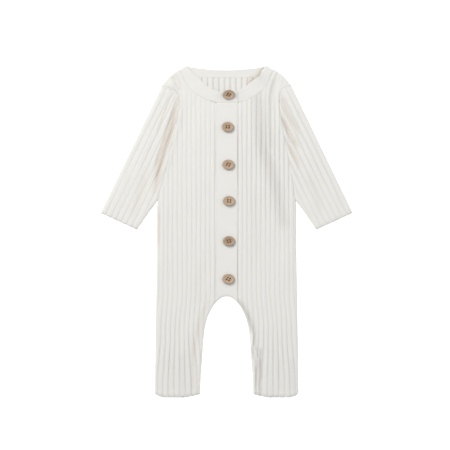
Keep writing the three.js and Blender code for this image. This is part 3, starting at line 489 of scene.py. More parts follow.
class Wall:
    """A closed wall of cloth, made from matched rows of skin and lining.

    Neighbouring rows are joined in the order of their place numbers.
    """

    def __init__(self):
        self.rows = []
        self.count = 0
        self.faces = []

    def add(self, row):
        self.rows.append(row)
        start = self.count
        self.count += len(row)
        return row[:, 0], np.arange(start, self.count)

    def add_pair(self, pair):
        return self.add(pair[0]), self.add(pair[1])

    def zip(self, above, below, flip):
        (place_a, a), (place_b, b) = above, below
        i = j = 0
        while i + 1 < len(a) or j + 1 < len(b):
            next_a = place_a[i + 1] if i + 1 < len(a) else math.inf
            next_b = place_b[j + 1] if j + 1 < len(b) else math.inf
            corner = a[i + 1] if next_a <= next_b else b[j + 1]
            face = (a[i], b[j], corner)
            self.faces.append(face[::-1] if flip else face)
            if next_a <= next_b:
                i += 1
            else:
                j += 1

    def join(self, pairs):
        for (skin, lining), (next_skin, next_lining) in zip(pairs, pairs[1:]):
            self.zip(skin, next_skin, False)
            self.zip(lining, next_lining, True)
            a, b, c, d = skin[1][0], lining[1][0], next_lining[1][0], next_skin[1][0]
            self.faces += [(a, b, c), (a, c, d)]
            a, b, c, d = skin[1][-1], next_skin[1][-1], next_lining[1][-1], lining[1][-1]
            self.faces += [(a, b, c), (a, c, d)]

    def close(self, pair, last):
        self.zip(pair[0], pair[1], not last)

    def piece(self, name, material):
        return cloth_piece(name, np.vstack(self.rows), self.faces, material)


def closed_wall(name, pairs, material):
    """One piece of cloth from all of its pairs of rows, closed at its first and last."""
    wall = Wall()
    joined = [wall.add_pair(pair) for pair in pairs]
    wall.join(joined)
    wall.close(joined[0], False)
    wall.close(joined[-1], True)
    return wall.piece(name, material)


def put_in_scene(name, data):
    thing = bpy.data.objects.new(name, data)
    bpy.context.scene.collection.objects.link(thing)
    return thing


def keep_with_points(mesh, name, values):
    """Stores a number or a vector with each point of a mesh."""
    kind, key = ("FLOAT_VECTOR", "vector") if values.ndim == 2 else ("FLOAT", "value")
    mesh.attributes.new(name, kind, "POINT").data.foreach_set(key, values.ravel())


def cloth_piece(name, points, faces, material):
    """A smooth closed mesh whose points carry the lie of the knit and its painted shade."""
    mesh = bpy.data.meshes.new(name)
    mesh.from_pydata((points[:, 1:4] * MM).tolist(), [], [tuple(int(i) for i in f) for f in faces])
    flat = np.zeros((len(points), 3))
    flat[:, :2] = points[:, 4:6]
    keep_with_points(mesh, "lay", flat)
    # painted shade kept with the points: grey for rib valleys, seams and shadows, warm for folds
    keep_with_points(mesh, "valley", points[:, 6])
    keep_with_points(mesh, "shade", points[:, 7])
    work = bmesh.new()
    work.from_mesh(mesh)
    bmesh.ops.remove_doubles(work, verts=work.verts, dist=2e-6)
    bmesh.ops.dissolve_degenerate(work, edges=work.edges, dist=1e-7)
    if work.calc_volume(signed=True) < 0:
        bmesh.ops.reverse_faces(work, faces=work.faces)
    work.to_mesh(mesh)
    work.free()
    mesh.shade_smooth()
    mesh.materials.append(material)
    return put_in_scene(name, mesh)


RING = [0, 0.04, 0.12, 0.24, 0.42, 0.66, 1]
LINING_RING = [0, 0.3, 0.65, 1]
START_PLACE, FINISH_PLACE = -1000, 1000
RING_SPAN = 6
MARGIN = 0.45


def ring_offsets(steps, reach, first):
    return first + (reach - first) * np.array(steps)


def ring_places(count):
    """Place numbers of an edge's ring of points, counted from its end place."""
    return np.arange(count) * RING_SPAN / (count - 1)


# Front of one side with its leg

def front_ends(y, side):
    """Inner and outer end of a row: distance out, lean and how deep its seam dips, 0 at a fold."""
    gap = SEAM_LINE / 2
    if y > TIP_Y:
        outer = (float(shoulder_out(y)), lean(shoulder_out, y), 0)
    elif y > UNDERARM_Y:
        track = armhole_out[side]
        dip = 0.5 if side < 0 else 0.25 if y > 196 else 0.7
        outer = (float(track(y)) - gap * lean(track, y), 1.0, dip)
    else:
        outer = (float(side_out(y)), 1.0, 0)
    if y > NECK_END_Y:
        corner = CORNER_SLOPE * max(0.0, y - NECK[0][0])
        inner = (float(neck_out(y)) + corner + gap * lean(neck_out, y), 1.0, 0.06)
    elif y > CROTCH or float(inseam_out(y)) < BAND_HALF_WIDTH + gap:
        inner = (BAND_HALF_WIDTH + gap, 1.0, 0.65 if side > 0 else 0.25)
    else:
        inner = (float(inseam_out(y)), lean(inseam_out, y), 0)
    return inner, outer


def front_pair(y, side, settings, height_at=None, hem=0.0):
    height_at = height_at or level_row(y)
    inner, outer = front_ends(y, side)
    width = outer[0] - inner[0]
    rings = {}
    wall = settings.wall / MM
    for name, steps in (("skin", RING), ("lining", LINING_RING)):
        for end, sign in ((inner, 1), (outer, -1)):
            reach = min(FOLD_RADIUS * end[1], width * 0.45)
            first = wall * reach / FOLD_RADIUS if end[2] == 0 and name == "lining" else 0
            offset = ring_offsets(steps, reach, first)
            dip = seam_dip(offset, end[2], settings)
            rings[name, sign] = (end[0] + sign * offset, dip)
    low = rings["skin", 1][0][-1] + MARGIN
    high = rings["skin", -1][0][-1] - MARGIN
    pitch = settings.rib_pitch / MM

    def columns(steps, every):
        counts = np.array([c + s for c in range(-2, 17, every) for s in steps])
        out = rib_out(counts, y, pitch)
        out = rib_out(counts, height_at(out), pitch)
        keep = (out > low) & (out < high)
        return counts[keep], out[keep]

    pair = []
    for name, steps, every in (("skin", RIB_STEPS, 1), ("lining", [0], 3)):
        counts, out = columns(steps, every)
        start, start_dip = rings[name, 1]
        finish, finish_dip = rings[name, -1]
        ring = ring_places(len(start))
        place = np.concatenate([START_PLACE + ring, counts, FINISH_PLACE + ring])
        outs = np.concatenate([start, out, finish[::-1]])
        dip = np.concatenate([start_dip, np.zeros(len(out)), finish_dip[::-1]])
        ys = height_at(outs)
        x = side * outs
        lay = (outs - rib_out(0, ys, pitch)) / pitch
        if name == "skin":
            shape, valley = rib_shape(lay_counts(outs, ys, pitch))
            strength = rib_strength(x, ys) * ring_fade(outs, start, finish, inner, outer)
            relief = rib_relief(shape, strength, settings)
            z, shade = top_skin(x, ys, relief, dip + hem, settings)
            # painted shade: darker rib valleys, seam dips and the grey shadows of the fronts
            valley = valley * strength + 0.3 * np.clip(dip / 0.9, 0, 1) + shadow_at(x, ys)
        else:
            # painted shade on the hidden lining inside the tube
            z, shade, valley = top_lining(x, ys, settings), 0.6, 0.0
        pair.append(row_of(place, x, ys, z, lay * pitch, ys, valley, shade))
    return pair


def lay_counts(outs, ys, pitch):
    """Rib count at a place, the inverse of rib_out."""
    counts = (outs - BAND_HALF_WIDTH) / pitch
    for _ in range(4):
        counts = counts + (outs - rib_out(counts, ys, pitch)) / pitch
    return counts


def ring_fade(outs, start, finish, inner, outer):
    """Ribs die away where the cloth turns over a fold, and stay up to a sewn edge."""
    fade = np.ones(len(outs))
    if inner[2] == 0:
        fade *= smooth(outs, start[0], start[-1])
    if outer[2] == 0:
        fade *= 1 - 0.6 * smooth(outs, finish[-1], finish[0])
    return fade


def front_heights():
    return np.concatenate([
        [242.9, 242.2, 241.5], np.linspace(240.8, TIP_Y, 14), np.linspace(216.5, 193.2, 18),
        np.linspace(190, 48, 48), [UNDERARM_Y, 43], np.linspace(40, -93, 42),
        np.linspace(-96, -126, 22), np.linspace(-129, LEG_HEM_Y, 30),
    ])


def make_front(name, side, material, settings):
    pairs = [front_pair(float(y), side, settings) for y in front_heights()]
    for part in LEG_PARTS:
        turned = 1.5 * float(smooth(part, 0.86, 1))
        raised = 0.2 * float(smooth(part, 0.6, 0.8)) if part < 0.9 else 0
        y = LEG_HEM_Y - HEM_DEPTH * part
        pairs.append(front_pair(y, side, settings, toward_hem(part), turned - raised))
    return closed_wall(name, pairs, material)


# Sleeve of one side. Rows run across it at a distance t down from the shoulder tip, and p is the
# distance in from its outer fold.

SLEEVE_LENGTH = math.hypot(CUFF[0] - TIP[0], CUFF[1] - TIP[1])
ALONG = ((CUFF[0] - TIP[0]) / SLEEVE_LENGTH, (CUFF[1] - TIP[1]) / SLEEVE_LENGTH)


def to_sleeve(out, y):
    dx, dy = out - TIP[0], y - TIP[1]
    return dx * ALONG[0] + dy * ALONG[1], dx * ALONG[1] - dy * ALONG[0]


def from_sleeve(t, p):
    return TIP[0] + ALONG[0] * t + ALONG[1] * p, TIP[1] + ALONG[1] * t - ALONG[0] * p


def sleeve_wander(t, count):
    return 0.3 * np.sin(t / 31 + count)


def sleeve_ribs(x, y, t, p, pitch):
    """Shape, valley and strength of the ribs at places of a sleeve."""
    shape, valley = rib_shape((p - sleeve_wander(t, p / pitch)) / pitch)
    return shape, valley, rib_strength(x, y) * smooth(p, 0.5, 5.5)


def sleeve_edge(side):
    """The armhole and the underarm as places along and across the sleeve."""
    track = armhole_out[side]
    heights = np.concatenate([np.linspace(TIP_Y, 190, 30), np.linspace(188, UNDERARM_Y, 40)])
    places = []
    for y in heights:
        gap = SEAM_LINE / 2 * lean(track, y)
        places.append(to_sleeve(float(track(y)) + gap, y))
    return places


def sleeve_pairs(side, settings):
    edge = sleeve_edge(side)
    turn = next(i for i, (t, p) in enumerate(edge) if t > 1.0 and p > 12)
    head, arm = edge[:turn], edge[turn:]
    head_t = Track([(p, t) for t, p in head])
    end_t, end_p = head[-1]
    under = [to_sleeve(*UNDERARM), to_sleeve(*CUFF_UNDERARM)]
    rows = [(end_t, end_p, False)] + [(t, p, False) for t, p in arm[::2]]
    rows = [row for row in rows if row[0] < arm[-1][0] - 1] + [(*arm[-1], True)]
    points = [arm[-1], *under]
    for (t1, p1), (t2, p2) in zip(points, points[1:]):
        steps = max(2, int((t2 - t1) / 3))
        for k in range(1, steps + 1):
            rows.append((t1 + (t2 - t1) * k / steps, p1 + (p2 - p1) * k / steps, True))
    cuff_t, cuff_p = under[-1]
    total = len(rows)
    for index, (t, p_end, fold) in enumerate(rows):
        head_share = 1 - float(smooth(t, end_t, end_t + 16))
        cuff_share = float(smooth(t, cuff_t - 30, cuff_t))

        def down(p, t=t, head_share=head_share, cuff_share=cuff_share):
            inside = np.clip(p, head[0][1], end_p)
            to_head = (head_t(inside) - end_t) * head_share
            to_cuff = (SLEEVE_LENGTH - cuff_t) * (1 - p / cuff_p) * cuff_share
            return t + to_head + to_cuff

        from_end = (total - 1 - index) * 3.0
        hem = 0.6 * (1 - float(smooth(from_end, 0, 3.5)))
        first = settings.seam_dip / MM * (0.15 if side > 0 else 0.35) if index == 0 else 0
        yield sleeve_pair(side, p_end, fold, down, hem, first, settings)


def sleeve_pair(side, end, fold, down, hem, head_dip, settings):
    wall = settings.wall / MM
    pitch = settings.sleeve_rib_pitch / MM

    def layer(name, top):
        steps = RING if name == "skin" else LINING_RING
        last = len(steps) - 1
        begin = wall if name == "lining" else 0
        end_first = begin if fold else 0
        reach = min(FOLD_RADIUS, end * 0.3)
        end_offset = ring_offsets(steps, reach, end_first)
        end_p = end - end_offset
        fold_p = ring_offsets(steps, reach, begin)
        every = 1 if name == "skin" else 3
        counts = np.array([c + s for c in range(0, 9, every)
                           for s in (RIB_STEPS if name == "skin" else [0])])
        middle = counts * pitch + sleeve_wander(down(counts * pitch), counts)
        keep = (middle > reach + MARGIN) & (middle < end - reach - MARGIN)
        counts, middle = counts[keep], middle[keep]
        p = np.concatenate([fold_p, middle, end_p[::-1]])
        place = np.concatenate([
            0.001 + np.arange(last + 1) / last * 0.3, 1 + counts,
            FINISH_PLACE + ring_places(last + 1),
        ])
        dip = np.zeros(len(p))
        if not fold:
            dip[-len(end_p):] = seam_dip(end_offset, 1.0, settings)[::-1]
        t = down(p)
        out, y = from_sleeve(t, p)
        x = side * out
        if name == "lining":
            z = top_lining(x, y, settings) if top else under_lining(x, y, settings)
            # painted shade on the hidden lining inside the tube
            valley, shade = 0.0, 0.6
        else:
            shape, valley, strength = sleeve_ribs(x, y, t, p, pitch)
            if fold:
                strength = strength * smooth(end - p, 0.5, 5.0)
            # painted shade in the rib valleys
            valley = valley * strength
            if top:
                relief = rib_relief(shape, strength, settings)
                z, shade = top_skin(x, y, relief, dip + hem + head_dip, settings)
            else:
                z, shade = under_skin(x, y, valley, settings)
        across = p if top else -p
        row = row_of(place, x, y, z, across, -t, valley, shade)
        if not top:
            row[:, 0] *= -1
            row = row[::-1]
        return row

    return [np.vstack([layer(name, False), layer(name, True)]) for name in ("skin", "lining")]


def make_sleeve(name, side, material, settings):
    return closed_wall(name, list(sleeve_pairs(side, settings)), material)


# Back with both legs. The upper rows cross the whole garment and the lower rows each cross a leg.

NECK_RIB_START = 2.9
CROTCH_ROWS = [(-90, 0.3), (-92.2, 0.7), (-94, 1.1), (-95.4, 1.5), (-96.6, 1.7), (CROTCH, 1.6)]


def back_end(y, side):
    if y > TIP_Y:
        return float(shoulder_out(y)), lean(shoulder_out, y), True
    if y > UNDERARM_Y:
        track = armhole_out[side]
        return float(track(y)) - SEAM_LINE / 2 * lean(track, y), 1.0, False
    return float(side_out(y)), 1.0, True


def back_row(y, settings, **options):
    """A row that crosses the whole garment."""
    right, left = back_end(y, -1), back_end(y, 1)
    return back_pair(y, (-right[0], *right[1:]), left, settings, **options)


def under_columns(steps, pitch, y):
    counts = np.array([c + s for c in range(-19, 19) for s in steps])
    fan = 1 + 0.1 * shoulder_fan(y)
    return counts * pitch * fan + 0.5 * np.sin(y / 53 + counts * 0.4), counts


def back_pair(y, start, finish, settings, at=None, ribs=0.0, centre=None):
    """One row of the back between two ends, each given as x, lean and whether it folds."""
    at = at or level_row(y)
    wall = settings.wall / MM
    pitch = settings.rib_pitch / MM
    pair = []
    for name, steps in (("skin", RING), ("lining", LINING_RING)):
        rings = []
        for (x0, tilt, fold), sign in ((start, 1), (finish, -1)):
            first = wall * tilt if fold and name == "lining" else 0
            rings.append(x0 + sign * ring_offsets(steps, FOLD_RADIUS * tilt, first))
        if name == "skin":
            x, counts = under_columns(RIB_STEPS[::2], pitch, y)
        elif ribs > 0:
            counts = np.array([c + s for c in range(-7, 8) for s in RIB_STEPS])
            x = counts * settings.neck_rib_pitch / MM - NECK_RIB_START
        else:
            x = np.arange(-6, 7) * 17.1 + 2.0
        low, high = rings[0][-1] + MARGIN, rings[1][-1] - MARGIN
        if centre is not None:
            reach = centre[name][-1] + MARGIN
            x = x[np.abs(x) > reach]
            x = np.sort(np.concatenate([x, -centre[name][1:], [0.0], centre[name][1:]]))
        x = x[(x > low) & (x < high)]
        ring = ring_places(len(steps))
        place = np.concatenate([START_PLACE + ring, x, FINISH_PLACE - ring[::-1]])
        xs = np.concatenate([rings[0], x, rings[1][::-1]])
        ys = at(xs)
        if name == "skin":
            fan = 1 + 0.1 * shoulder_fan(ys)
            count = xs / (pitch * fan)
            count = (xs - 0.5 * np.sin(ys / 53 + count * 0.4)) / (pitch * fan)
            _, valley = rib_shape(count)
            # painted shade in the rib valleys of the underside
            valley = valley * smooth(fold_distance(xs, ys), 0.5, 5.0)
            z, shade = under_skin(xs, ys, valley, settings)
        else:
            count = (xs + NECK_RIB_START) / (settings.neck_rib_pitch / MM)
            shape, valley = rib_shape(count)
            keep = smooth(52 - np.abs(xs), 0, 3) * ribs
            z = under_lining(xs, ys, settings) + 0.75 * shape * keep
            # painted warm shadow under the lifted neckband edge, and painted shade in the inner ribs'
            # valleys
            shade = painted_shadow_under_edge(xs, ys)
            valley = 2.9 * valley * keep
        pair.append(row_of(place, xs, ys, z, xs, ys, valley, shade))
    return pair


def leg_start(row, side, ring):
    """The half of the crotch row that starts a leg, its inner points numbered as an edge ring."""
    centre = int(np.argmin(np.abs(row[0][:, 1])))
    half = slice(0, centre + 1) if side < 0 else slice(centre, None)
    places, indices = row[1][0][half].copy(), row[1][1][half]
    if side < 0:
        places[-ring:] = FINISH_PLACE - ring_places(ring)[::-1]
    else:
        places[:ring] = START_PLACE + ring_places(ring)
    return places, indices


def make_back(name, material, settings):
    wall = Wall()
    body = []
    heights = np.concatenate([
        np.linspace(240.65, 203, 22), np.linspace(199, 48, 40), [UNDERARM_Y, 43],
        np.linspace(39, -86, 33),
    ])
    for y in heights:
        y = float(y)
        sag = float(back_sag(y)) if y > 202 else 0.0

        def at(x, y=y, sag=sag):
            return y - sag * (1 - np.minimum(1, np.abs(x) / BACK_NECK_OUT) ** BACK_NECK_CURVE)

        body.append(back_row(y, settings, at=at, ribs=float(smooth(y, 198, 206))))
    reach = FOLD_RADIUS * CROTCH_TILT
    centre = {
        "skin": ring_offsets(RING, reach, 0),
        "lining": ring_offsets(LINING_RING, reach, settings.wall / MM * CROTCH_TILT),
    }
    centre["lining"][0] = 0
    for y, lift in CROTCH_ROWS:
        pair = back_row(y, settings, centre=centre)
        middle = int(np.argmin(np.abs(pair[1][:, 1])))
        pair[1][middle, 2] += lift
        spot = np.array([0.0]), np.array([pair[1][middle, 2]])
        pair[1][middle, 3] = under_lining(*spot, settings)[0]
        body.append(pair)
    joined = [wall.add_pair(pair) for pair in body]
    wall.join(joined)
    wall.close(joined[0], False)
    last = body[-1]
    for side in (-1, 1):
        leg = [(
            leg_start((last[0], joined[-1][0]), side, len(RING)),
            leg_start((last[1], joined[-1][1]), side, len(LINING_RING)),
        )]
        levels = np.concatenate([
            [-97.9, -98.4], np.linspace(-99, -126, 20), np.linspace(-129, LEG_HEM_Y, 30),
        ])
        rows = [(float(y), None) for y in levels]
        rows += [(LEG_HEM_Y - HEM_DEPTH * part, toward_hem(part)) for part in LEG_PARTS]
        for y, at in rows:
            inner = (side * float(inseam_out(y)), lean(inseam_out, y), True)
            outer = (side * float(side_out(y)), 1.0, True)
            ends = (inner, outer) if side > 0 else (outer, inner)
            leg.append(wall.add_pair(back_pair(y, *ends, settings, at)))
        wall.join(leg)
        wall.close(leg[-1], True)
    return wall.piece(name, material)


# Neckband: one strip that starts on top at the centre front, goes round by the wearer's right
# shoulder and the back, and comes back under its own start.

NECKBAND_WALL = 1.7
BAND_CLEARANCE = 0.19
BAND_DEPTH = 17
FRONT_LEVEL, BACK_LEVEL, OVER_LEVEL, UNDER_LEVEL = 3.95, 0.85, 4.47, 2.9
BAND_ACROSS = [0, 0.012, 0.035, 0.07, 0.15, 0.3, 0.5, 0.7, 0.85, 0.93, 0.965, 0.99, 1]


def band_outline():
    """The strip's section: places across it with a height from -1 to 1, round at the free edge."""
    across = np.array(BAND_ACROSS)
    free = 0.25 + 0.75 * np.sqrt(1 - np.clip(1 - across / 0.05, 0, 1) ** 2)
    seam = 0.85 + 0.15 * np.sqrt(1 - np.clip(1 - (1 - across) / 0.03, 0, 1) ** 2)
    up = np.minimum(free, seam)
    return np.concatenate([across, across[::-1]]), np.concatenate([up, -up[::-1]])


def band_section(free, seam, normal, level, lift, along, wall):
    across, up = band_outline()
    reach = up * wall / 2
    x = free[0] + (seam[0] - free[0]) * across + normal[0] * reach
    y = free[1] + (seam[1] - free[1]) * across + normal[1] * reach
    z = level + lift * (1 - across) ** 1.4 + normal[2] * reach
    # painted shadow under the lifted edge, on the strip that lies on the back
    shade = painted_shadow_under_edge(x, y) if normal[2] < 0 else 0
    return row_of(0, x, y, z, across * BAND_DEPTH, along, 0, shade)


def loft(name, sections, material):
    """Joins matched sections into one closed piece with flat ends."""
    count = len(sections[0])
    faces = []
    for k in range(len(sections) - 1):
        for i in range(count):
            a, b = k * count + i, k * count + (i + 1) % count
            faces += [(a, b, a + count), (b, b + count, a + count)]
    last = (len(sections) - 1) * count
    for i in range(1, count - 1):
        faces += [(0, i + 1, i), (last, last + i, last + i + 1)]
    return cloth_piece(name, np.vstack(sections), faces, material)


def band_level(x, side):
    near = 1 - float(smooth(abs(x), 17, 40 if side < 0 else 23))
    end = OVER_LEVEL if side < 0 else UNDER_LEVEL
    thinned = 0.2 * float(smooth(x, 9, BAND_HALF_WIDTH)) if side < 0 else 0
    return FRONT_LEVEL + (end - FRONT_LEVEL) * near - thinned


def band_wall(x, side):
    """The overlapping end is pressed thin where it lies on the other one."""
    if side > 0:
        return NECKBAND_WALL
    return NECKBAND_WALL - 0.4 * (1 - float(smooth(-x, 17, 40))) - 0.4 * float(smooth(x, 9, 17))


def band_lift(x):
    """How far the free edge stands up: at the centre front, and at the wearer's left shoulder."""
    centre = 3.0 * (1 - float(smooth(abs(x), 10, 45)))
    left = 2.6 * math.exp(-(((x - 61) / 6) ** 2)) * float(smooth(69 - x, 0, 5))
    right = 0.8 * math.exp(-(((x + 47) / 12) ** 2))
    return centre + left + right + 0.25 * math.sin(x / 7.3)


def drawn_out(y, side):
    """How far the free edge is drawn outward where it lifts, at the wearer's left."""
    return 4.2 * math.exp(-(((y - 232.5) / 6) ** 2)) if side > 0 else 0


def neck_heights():
    """Heights down the neck seam at even steps along it."""
    dense = np.linspace(NECK[0][0], NECK_END_Y, 240)
    out = neck_out(dense)
    length = np.concatenate([[0], np.cumsum(np.hypot(np.diff(out), np.diff(dense)))])
    return np.interp(np.linspace(0, length[-1], 44), length, dense)


def make_neckband(name, material):
    flat, gap = (0, 0, 1), SEAM_LINE / 2
    sections, seams = [], []

    def add(free, seam, normal, level, lift, wall=NECKBAND_WALL):
        along = sections[-1][0, 5] + math.dist(seam, seams[-1]) if sections else 0
        seams.append(seam)
        sections.append(band_section(free, seam, normal, level, lift, along, wall))

    def middle(x, side):
        seam = (x, NECK_SEAM_CENTRE + BAND_CLEARANCE)
        add((x, NECK_FREE_CENTRE), seam, flat, band_level(x, side), band_lift(x), band_wall(x, side))

    def front(side, heights):
        for y in heights:
            out = float(neck_out(y)) - gap * lean(neck_out, y)
            near = float(smooth(y, 196, NECK_END_Y)) * BAND_CLEARANCE
            edge_y = float(neck_free_y(y))
            free = (side * float(neck_free_out(y)) + drawn_out(edge_y, side), edge_y)
            x = side * out
            add(free, (x, y + near), flat, band_level(x, side), band_lift(x), band_wall(x, side))

    (free_out, free_y), (seam_out, seam_y) = FOLD_CORNER
    run = (seam_out - free_out, seam_y - free_y)
    length = math.hypot(*run)

    def shoulder(side, angles):
        radius = (FRONT_LEVEL - BACK_LEVEL) / 2
        outward = (side * -run[1] / length, run[0] / length)
        for angle in angles:
            s, c = math.sin(angle), math.cos(angle)
            shift = (outward[0] * radius * s, outward[1] * radius * s)
            free = (side * free_out + shift[0], free_y + shift[1])
            seam = (side * seam_out + shift[0], seam_y + shift[1])
            normal = (outward[0] * s, outward[1] * s, c)
            add(free, seam, normal, BACK_LEVEL + radius * (1 + c), 0.3 * s)

    heights = neck_heights()
    angles = np.linspace(0, math.pi, 12)[1:-1]
    middle(BAND_HALF_WIDTH - 0.2, -1)
    for x in (16, 14, 12, 8, 4, 0, -4, -8, -12):
        middle(x, -1)
    front(-1, heights[::-1])
    shoulder(-1, angles)
    for part in np.linspace(-1, 1, 61):
        x = part * seam_out
        seam = float(back_neck_y(x)) + gap
        free = (part * free_out, BACK_FREE_CENTRE + BACK_FREE_RISE * part ** 2)
        add(free, (x, seam), (0, 0, -1), BACK_LEVEL, 0)
    shoulder(1, angles[::-1])
    front(1, heights)
    for x in (12, 8, 4, 0, -4, -8, -13):
        middle(x, 1)
    return loft(name, sections, material)


# Button bands. Their lower ends follow the crotch, where the top band rounds over.

BAND_PARTS = [-1, -0.985, -0.955, -0.91, -0.82, -0.66, -0.5, -0.33, -0.16, 0,
              0.16, 0.33, 0.5, 0.66, 0.82, 0.91, 0.955, 0.985, 1]
BAND_END = [(3.6, 3.6), (2.7, 3.0), (1.9, 2.6), (1.2, 2.3), (0.65, 2.0), (0.25, 1.8), (0, 1.6)]

BAND_WALL = 1.5
BAND_INSET = 1.6

arch_y = Track([(out, y) for y, out in INSEAM])


def band_swell(x, y):
    return 0.1 * np.sin(y / 19) * np.sin(x / 9 + 1)


def button_press(x, y):
    """How far the six buttons press the band down."""
    return sum(0.3 * np.exp(-((x - bx) ** 2 + (y - by) ** 2) / 11 ** 2) for bx, by, *_ in BUTTONS)


def band_row(at, level, hem):
    part = np.array(BAND_PARTS)
    x = part * (BAND_HALF_WIDTH - SEAM_LINE / 2)
    y = at(x)
    x = x + 0.25 * np.sin(y / 26 + 0.6) * np.where(part > 0, part, 0.4 * part)
    drop = np.zeros(len(x))
    shade = np.zeros(len(x))
    if hem == 0:
        inward = np.clip(1 - (1 - np.abs(part)) * BAND_HALF_WIDTH / 1.5, 0, 1)
        drop = np.where(part > 0, 0.9, 0.15) * (1 - np.sqrt(1 - inward ** 2))
        drop += band_swell(x, y) + button_press(x, y)
        # painted shade along the top band's rounded free edge
        shade = 0.3 * smooth(part, 0.93, 1.0)
    distance = np.maximum(0, fold_distance(x, y) - hem)
    z = TOP_EDGE + (level - drop - TOP_EDGE) * rounding(distance, FOLD_RADIUS - hem)
    return row_of(x, x, y, z, x, y, 0, shade)


def make_band_top(name, material):
    levels = np.concatenate([np.linspace(192.95, -80, 92), [-82.5, -84.5]])
    places = [(level_row(y),) * 2 for y in levels]
    for rises in BAND_END:
        places.append([
            lambda x, rise=rise: arch_y(np.abs(x)) + rise * CROTCH_TILT for rise in rises
        ])
    pairs = [
        (band_row(skin_at, BAND_TOP, 0), band_row(lining_at, BAND_TOP - BAND_WALL, BAND_INSET))
        for skin_at, lining_at in places
    ]
    return closed_wall(name, pairs, material)


def make_band_under(name, material):
    left, right, top, bottom = -14.0, 16.5, 3.35, 2.05
    start, end_rise = 192.3, 15
    x = np.linspace(left, right, 9)
    sections = []
    for part in np.linspace(0, 1, 48):
        y = start + part * (arch_y(np.abs(x)) + end_rise - start)
        # painted shade over the whole under band, which lies hidden under the top band
        upper = row_of(0, x, y, top - 0.06 * np.cos(x), x, y, 0, 0.5)
        lower = row_of(0, x[::-1], y[::-1], bottom, x[::-1], y[::-1], 0, 0.5)
        sections.append(np.vstack([upper, lower]))
    return loft(name, sections, material)


# Buttons

def seat_height(y, tilt):
    """Height of the cloth under a button's lowest edge."""
    if y < NECK_SEAM_CENTRE:
        return BAND_TOP
    lowest = y - math.copysign(9.0 * OVAL, tilt)
    across = (NECK_FREE_CENTRE - lowest) / (NECK_FREE_CENTRE - NECK_SEAM_CENTRE)
    return OVER_LEVEL + NECKBAND_WALL / 2 + 3 * (1 - across) + 0.3


def button_place(spec):
    x, y, turn, tilt, _ = spec
    angle = math.radians(tilt)
    lowest = min(z * math.cos(angle) - r * OVAL * abs(math.sin(angle)) for r, z in BUTTON_PROFILE)
    aside = Matrix.Rotation(math.radians(10 if y > NECK_SEAM_CENTRE else 0), 4, "Z")
    turned = aside @ Matrix.Rotation(angle, 4, "X") @ Matrix.Diagonal((1, OVAL, 1, 1))
    turned = turned @ Matrix.Rotation(math.radians(turn), 4, "Z")
    return Matrix.Translation((x, y, seat_height(y, tilt) + 0.3 - lowest)) @ turned


def ring_faces(rings, sides):
    """The faces of a body of equal rings of points, closed at both ends."""
    faces = []
    for k in range(rings - 1):
        for i in range(sides):
            j = (i + 1) % sides
            faces.append((k * sides + i, k * sides + j, (k + 1) * sides + j, (k + 1) * sides + i))
    top = (rings - 1) * sides
    return [*faces, tuple(range(sides - 1, -1, -1)), tuple(range(top, top + sides))]


def turned_disc(profile, sides):
    """A round body turned from its profile, closed on its axis."""
    points = []
    inner = profile[1:-1]
    for r, z in inner:
        for i in range(sides):
            angle = 2 * math.pi * i / sides
            points.append((r * math.cos(angle), r * math.sin(angle), z))
    return points, ring_faces(len(inner), sides)


def plain_object(name, points, faces):
    mesh = bpy.data.meshes.new(name)
    mesh.from_pydata(points, [], faces)
    mesh.update()
    return put_in_scene(name, mesh)


def evaluated_mesh(thing):
    graph = bpy.context.evaluated_depsgraph_get()
    return bpy.data.meshes.new_from_object(thing.evaluated_get(graph), depsgraph=graph)


def button_blank(settings):
    """The button's mesh about its own axis, with four holes drilled through the dish."""
    disc = plain_object("button blank", *turned_disc(BUTTON_PROFILE, 64))
    points, faces = [], []
    offset, radius = settings.hole_offset / MM, settings.hole_radius / MM
    for sx, sy in ((-1, -1), (1, -1), (1, 1), (-1, 1)):
        hole, sides = turned_disc([(0, -3), (radius, -3), (radius, 6), (0, 6)], 18)
        faces += [tuple(i + len(points) for i in face) for face in sides]
        points += [(x + sx * offset, y + sy * offset, z) for x, y, z in hole]
    drill = plain_object("button drill", points, faces)
    cut = disc.modifiers.new("holes", "BOOLEAN")
    cut.operation = "DIFFERENCE"
    cut.solver = "EXACT"
    cut.object = drill
    mesh = evaluated_mesh(disc)
    bpy.data.objects.remove(disc)
    bpy.data.objects.remove(drill)
    return mesh


def make_button(name, spec, blank, material):
    _, y, turn, _, tone = spec
    mesh = blank.copy()
    mesh.name = name
    local = np.zeros(len(mesh.vertices) * 3)
    mesh.vertices.foreach_get("co", local)
    local = local.reshape(-1, 3)
    own_grain = 37 * (1 + abs(turn) + y)
    keep_with_points(mesh, "lay", local + [0, 0, own_grain])
    keep_with_points(mesh, "tone", np.full(len(local), float(tone)))
    mesh.transform(Matrix.Scale(MM, 4) @ button_place(spec))
    mesh.materials.clear()
    mesh.materials.append(material)
    mesh.shade_smooth()
    mesh.set_sharp_from_angle(angle=math.radians(40))
    return put_in_scene(name, mesh)


def tube(points, radius, sides=8):
    """A closed round thread along a path, in the path's own units."""
    path = [Vector(p) for p in points]
    verts = []
    for i, point in enumerate(path):
        ahead = path[min(i + 1, len(path) - 1)] - path[max(i - 1, 0)]
        turn = ahead.to_track_quat("Z", "Y")
        for k in range(sides):
            angle = 2 * math.pi * k / sides
            verts.append(point + turn @ Vector((radius * math.cos(angle), radius * math.sin(angle), 0)))
    return verts, ring_faces(len(path), sides)


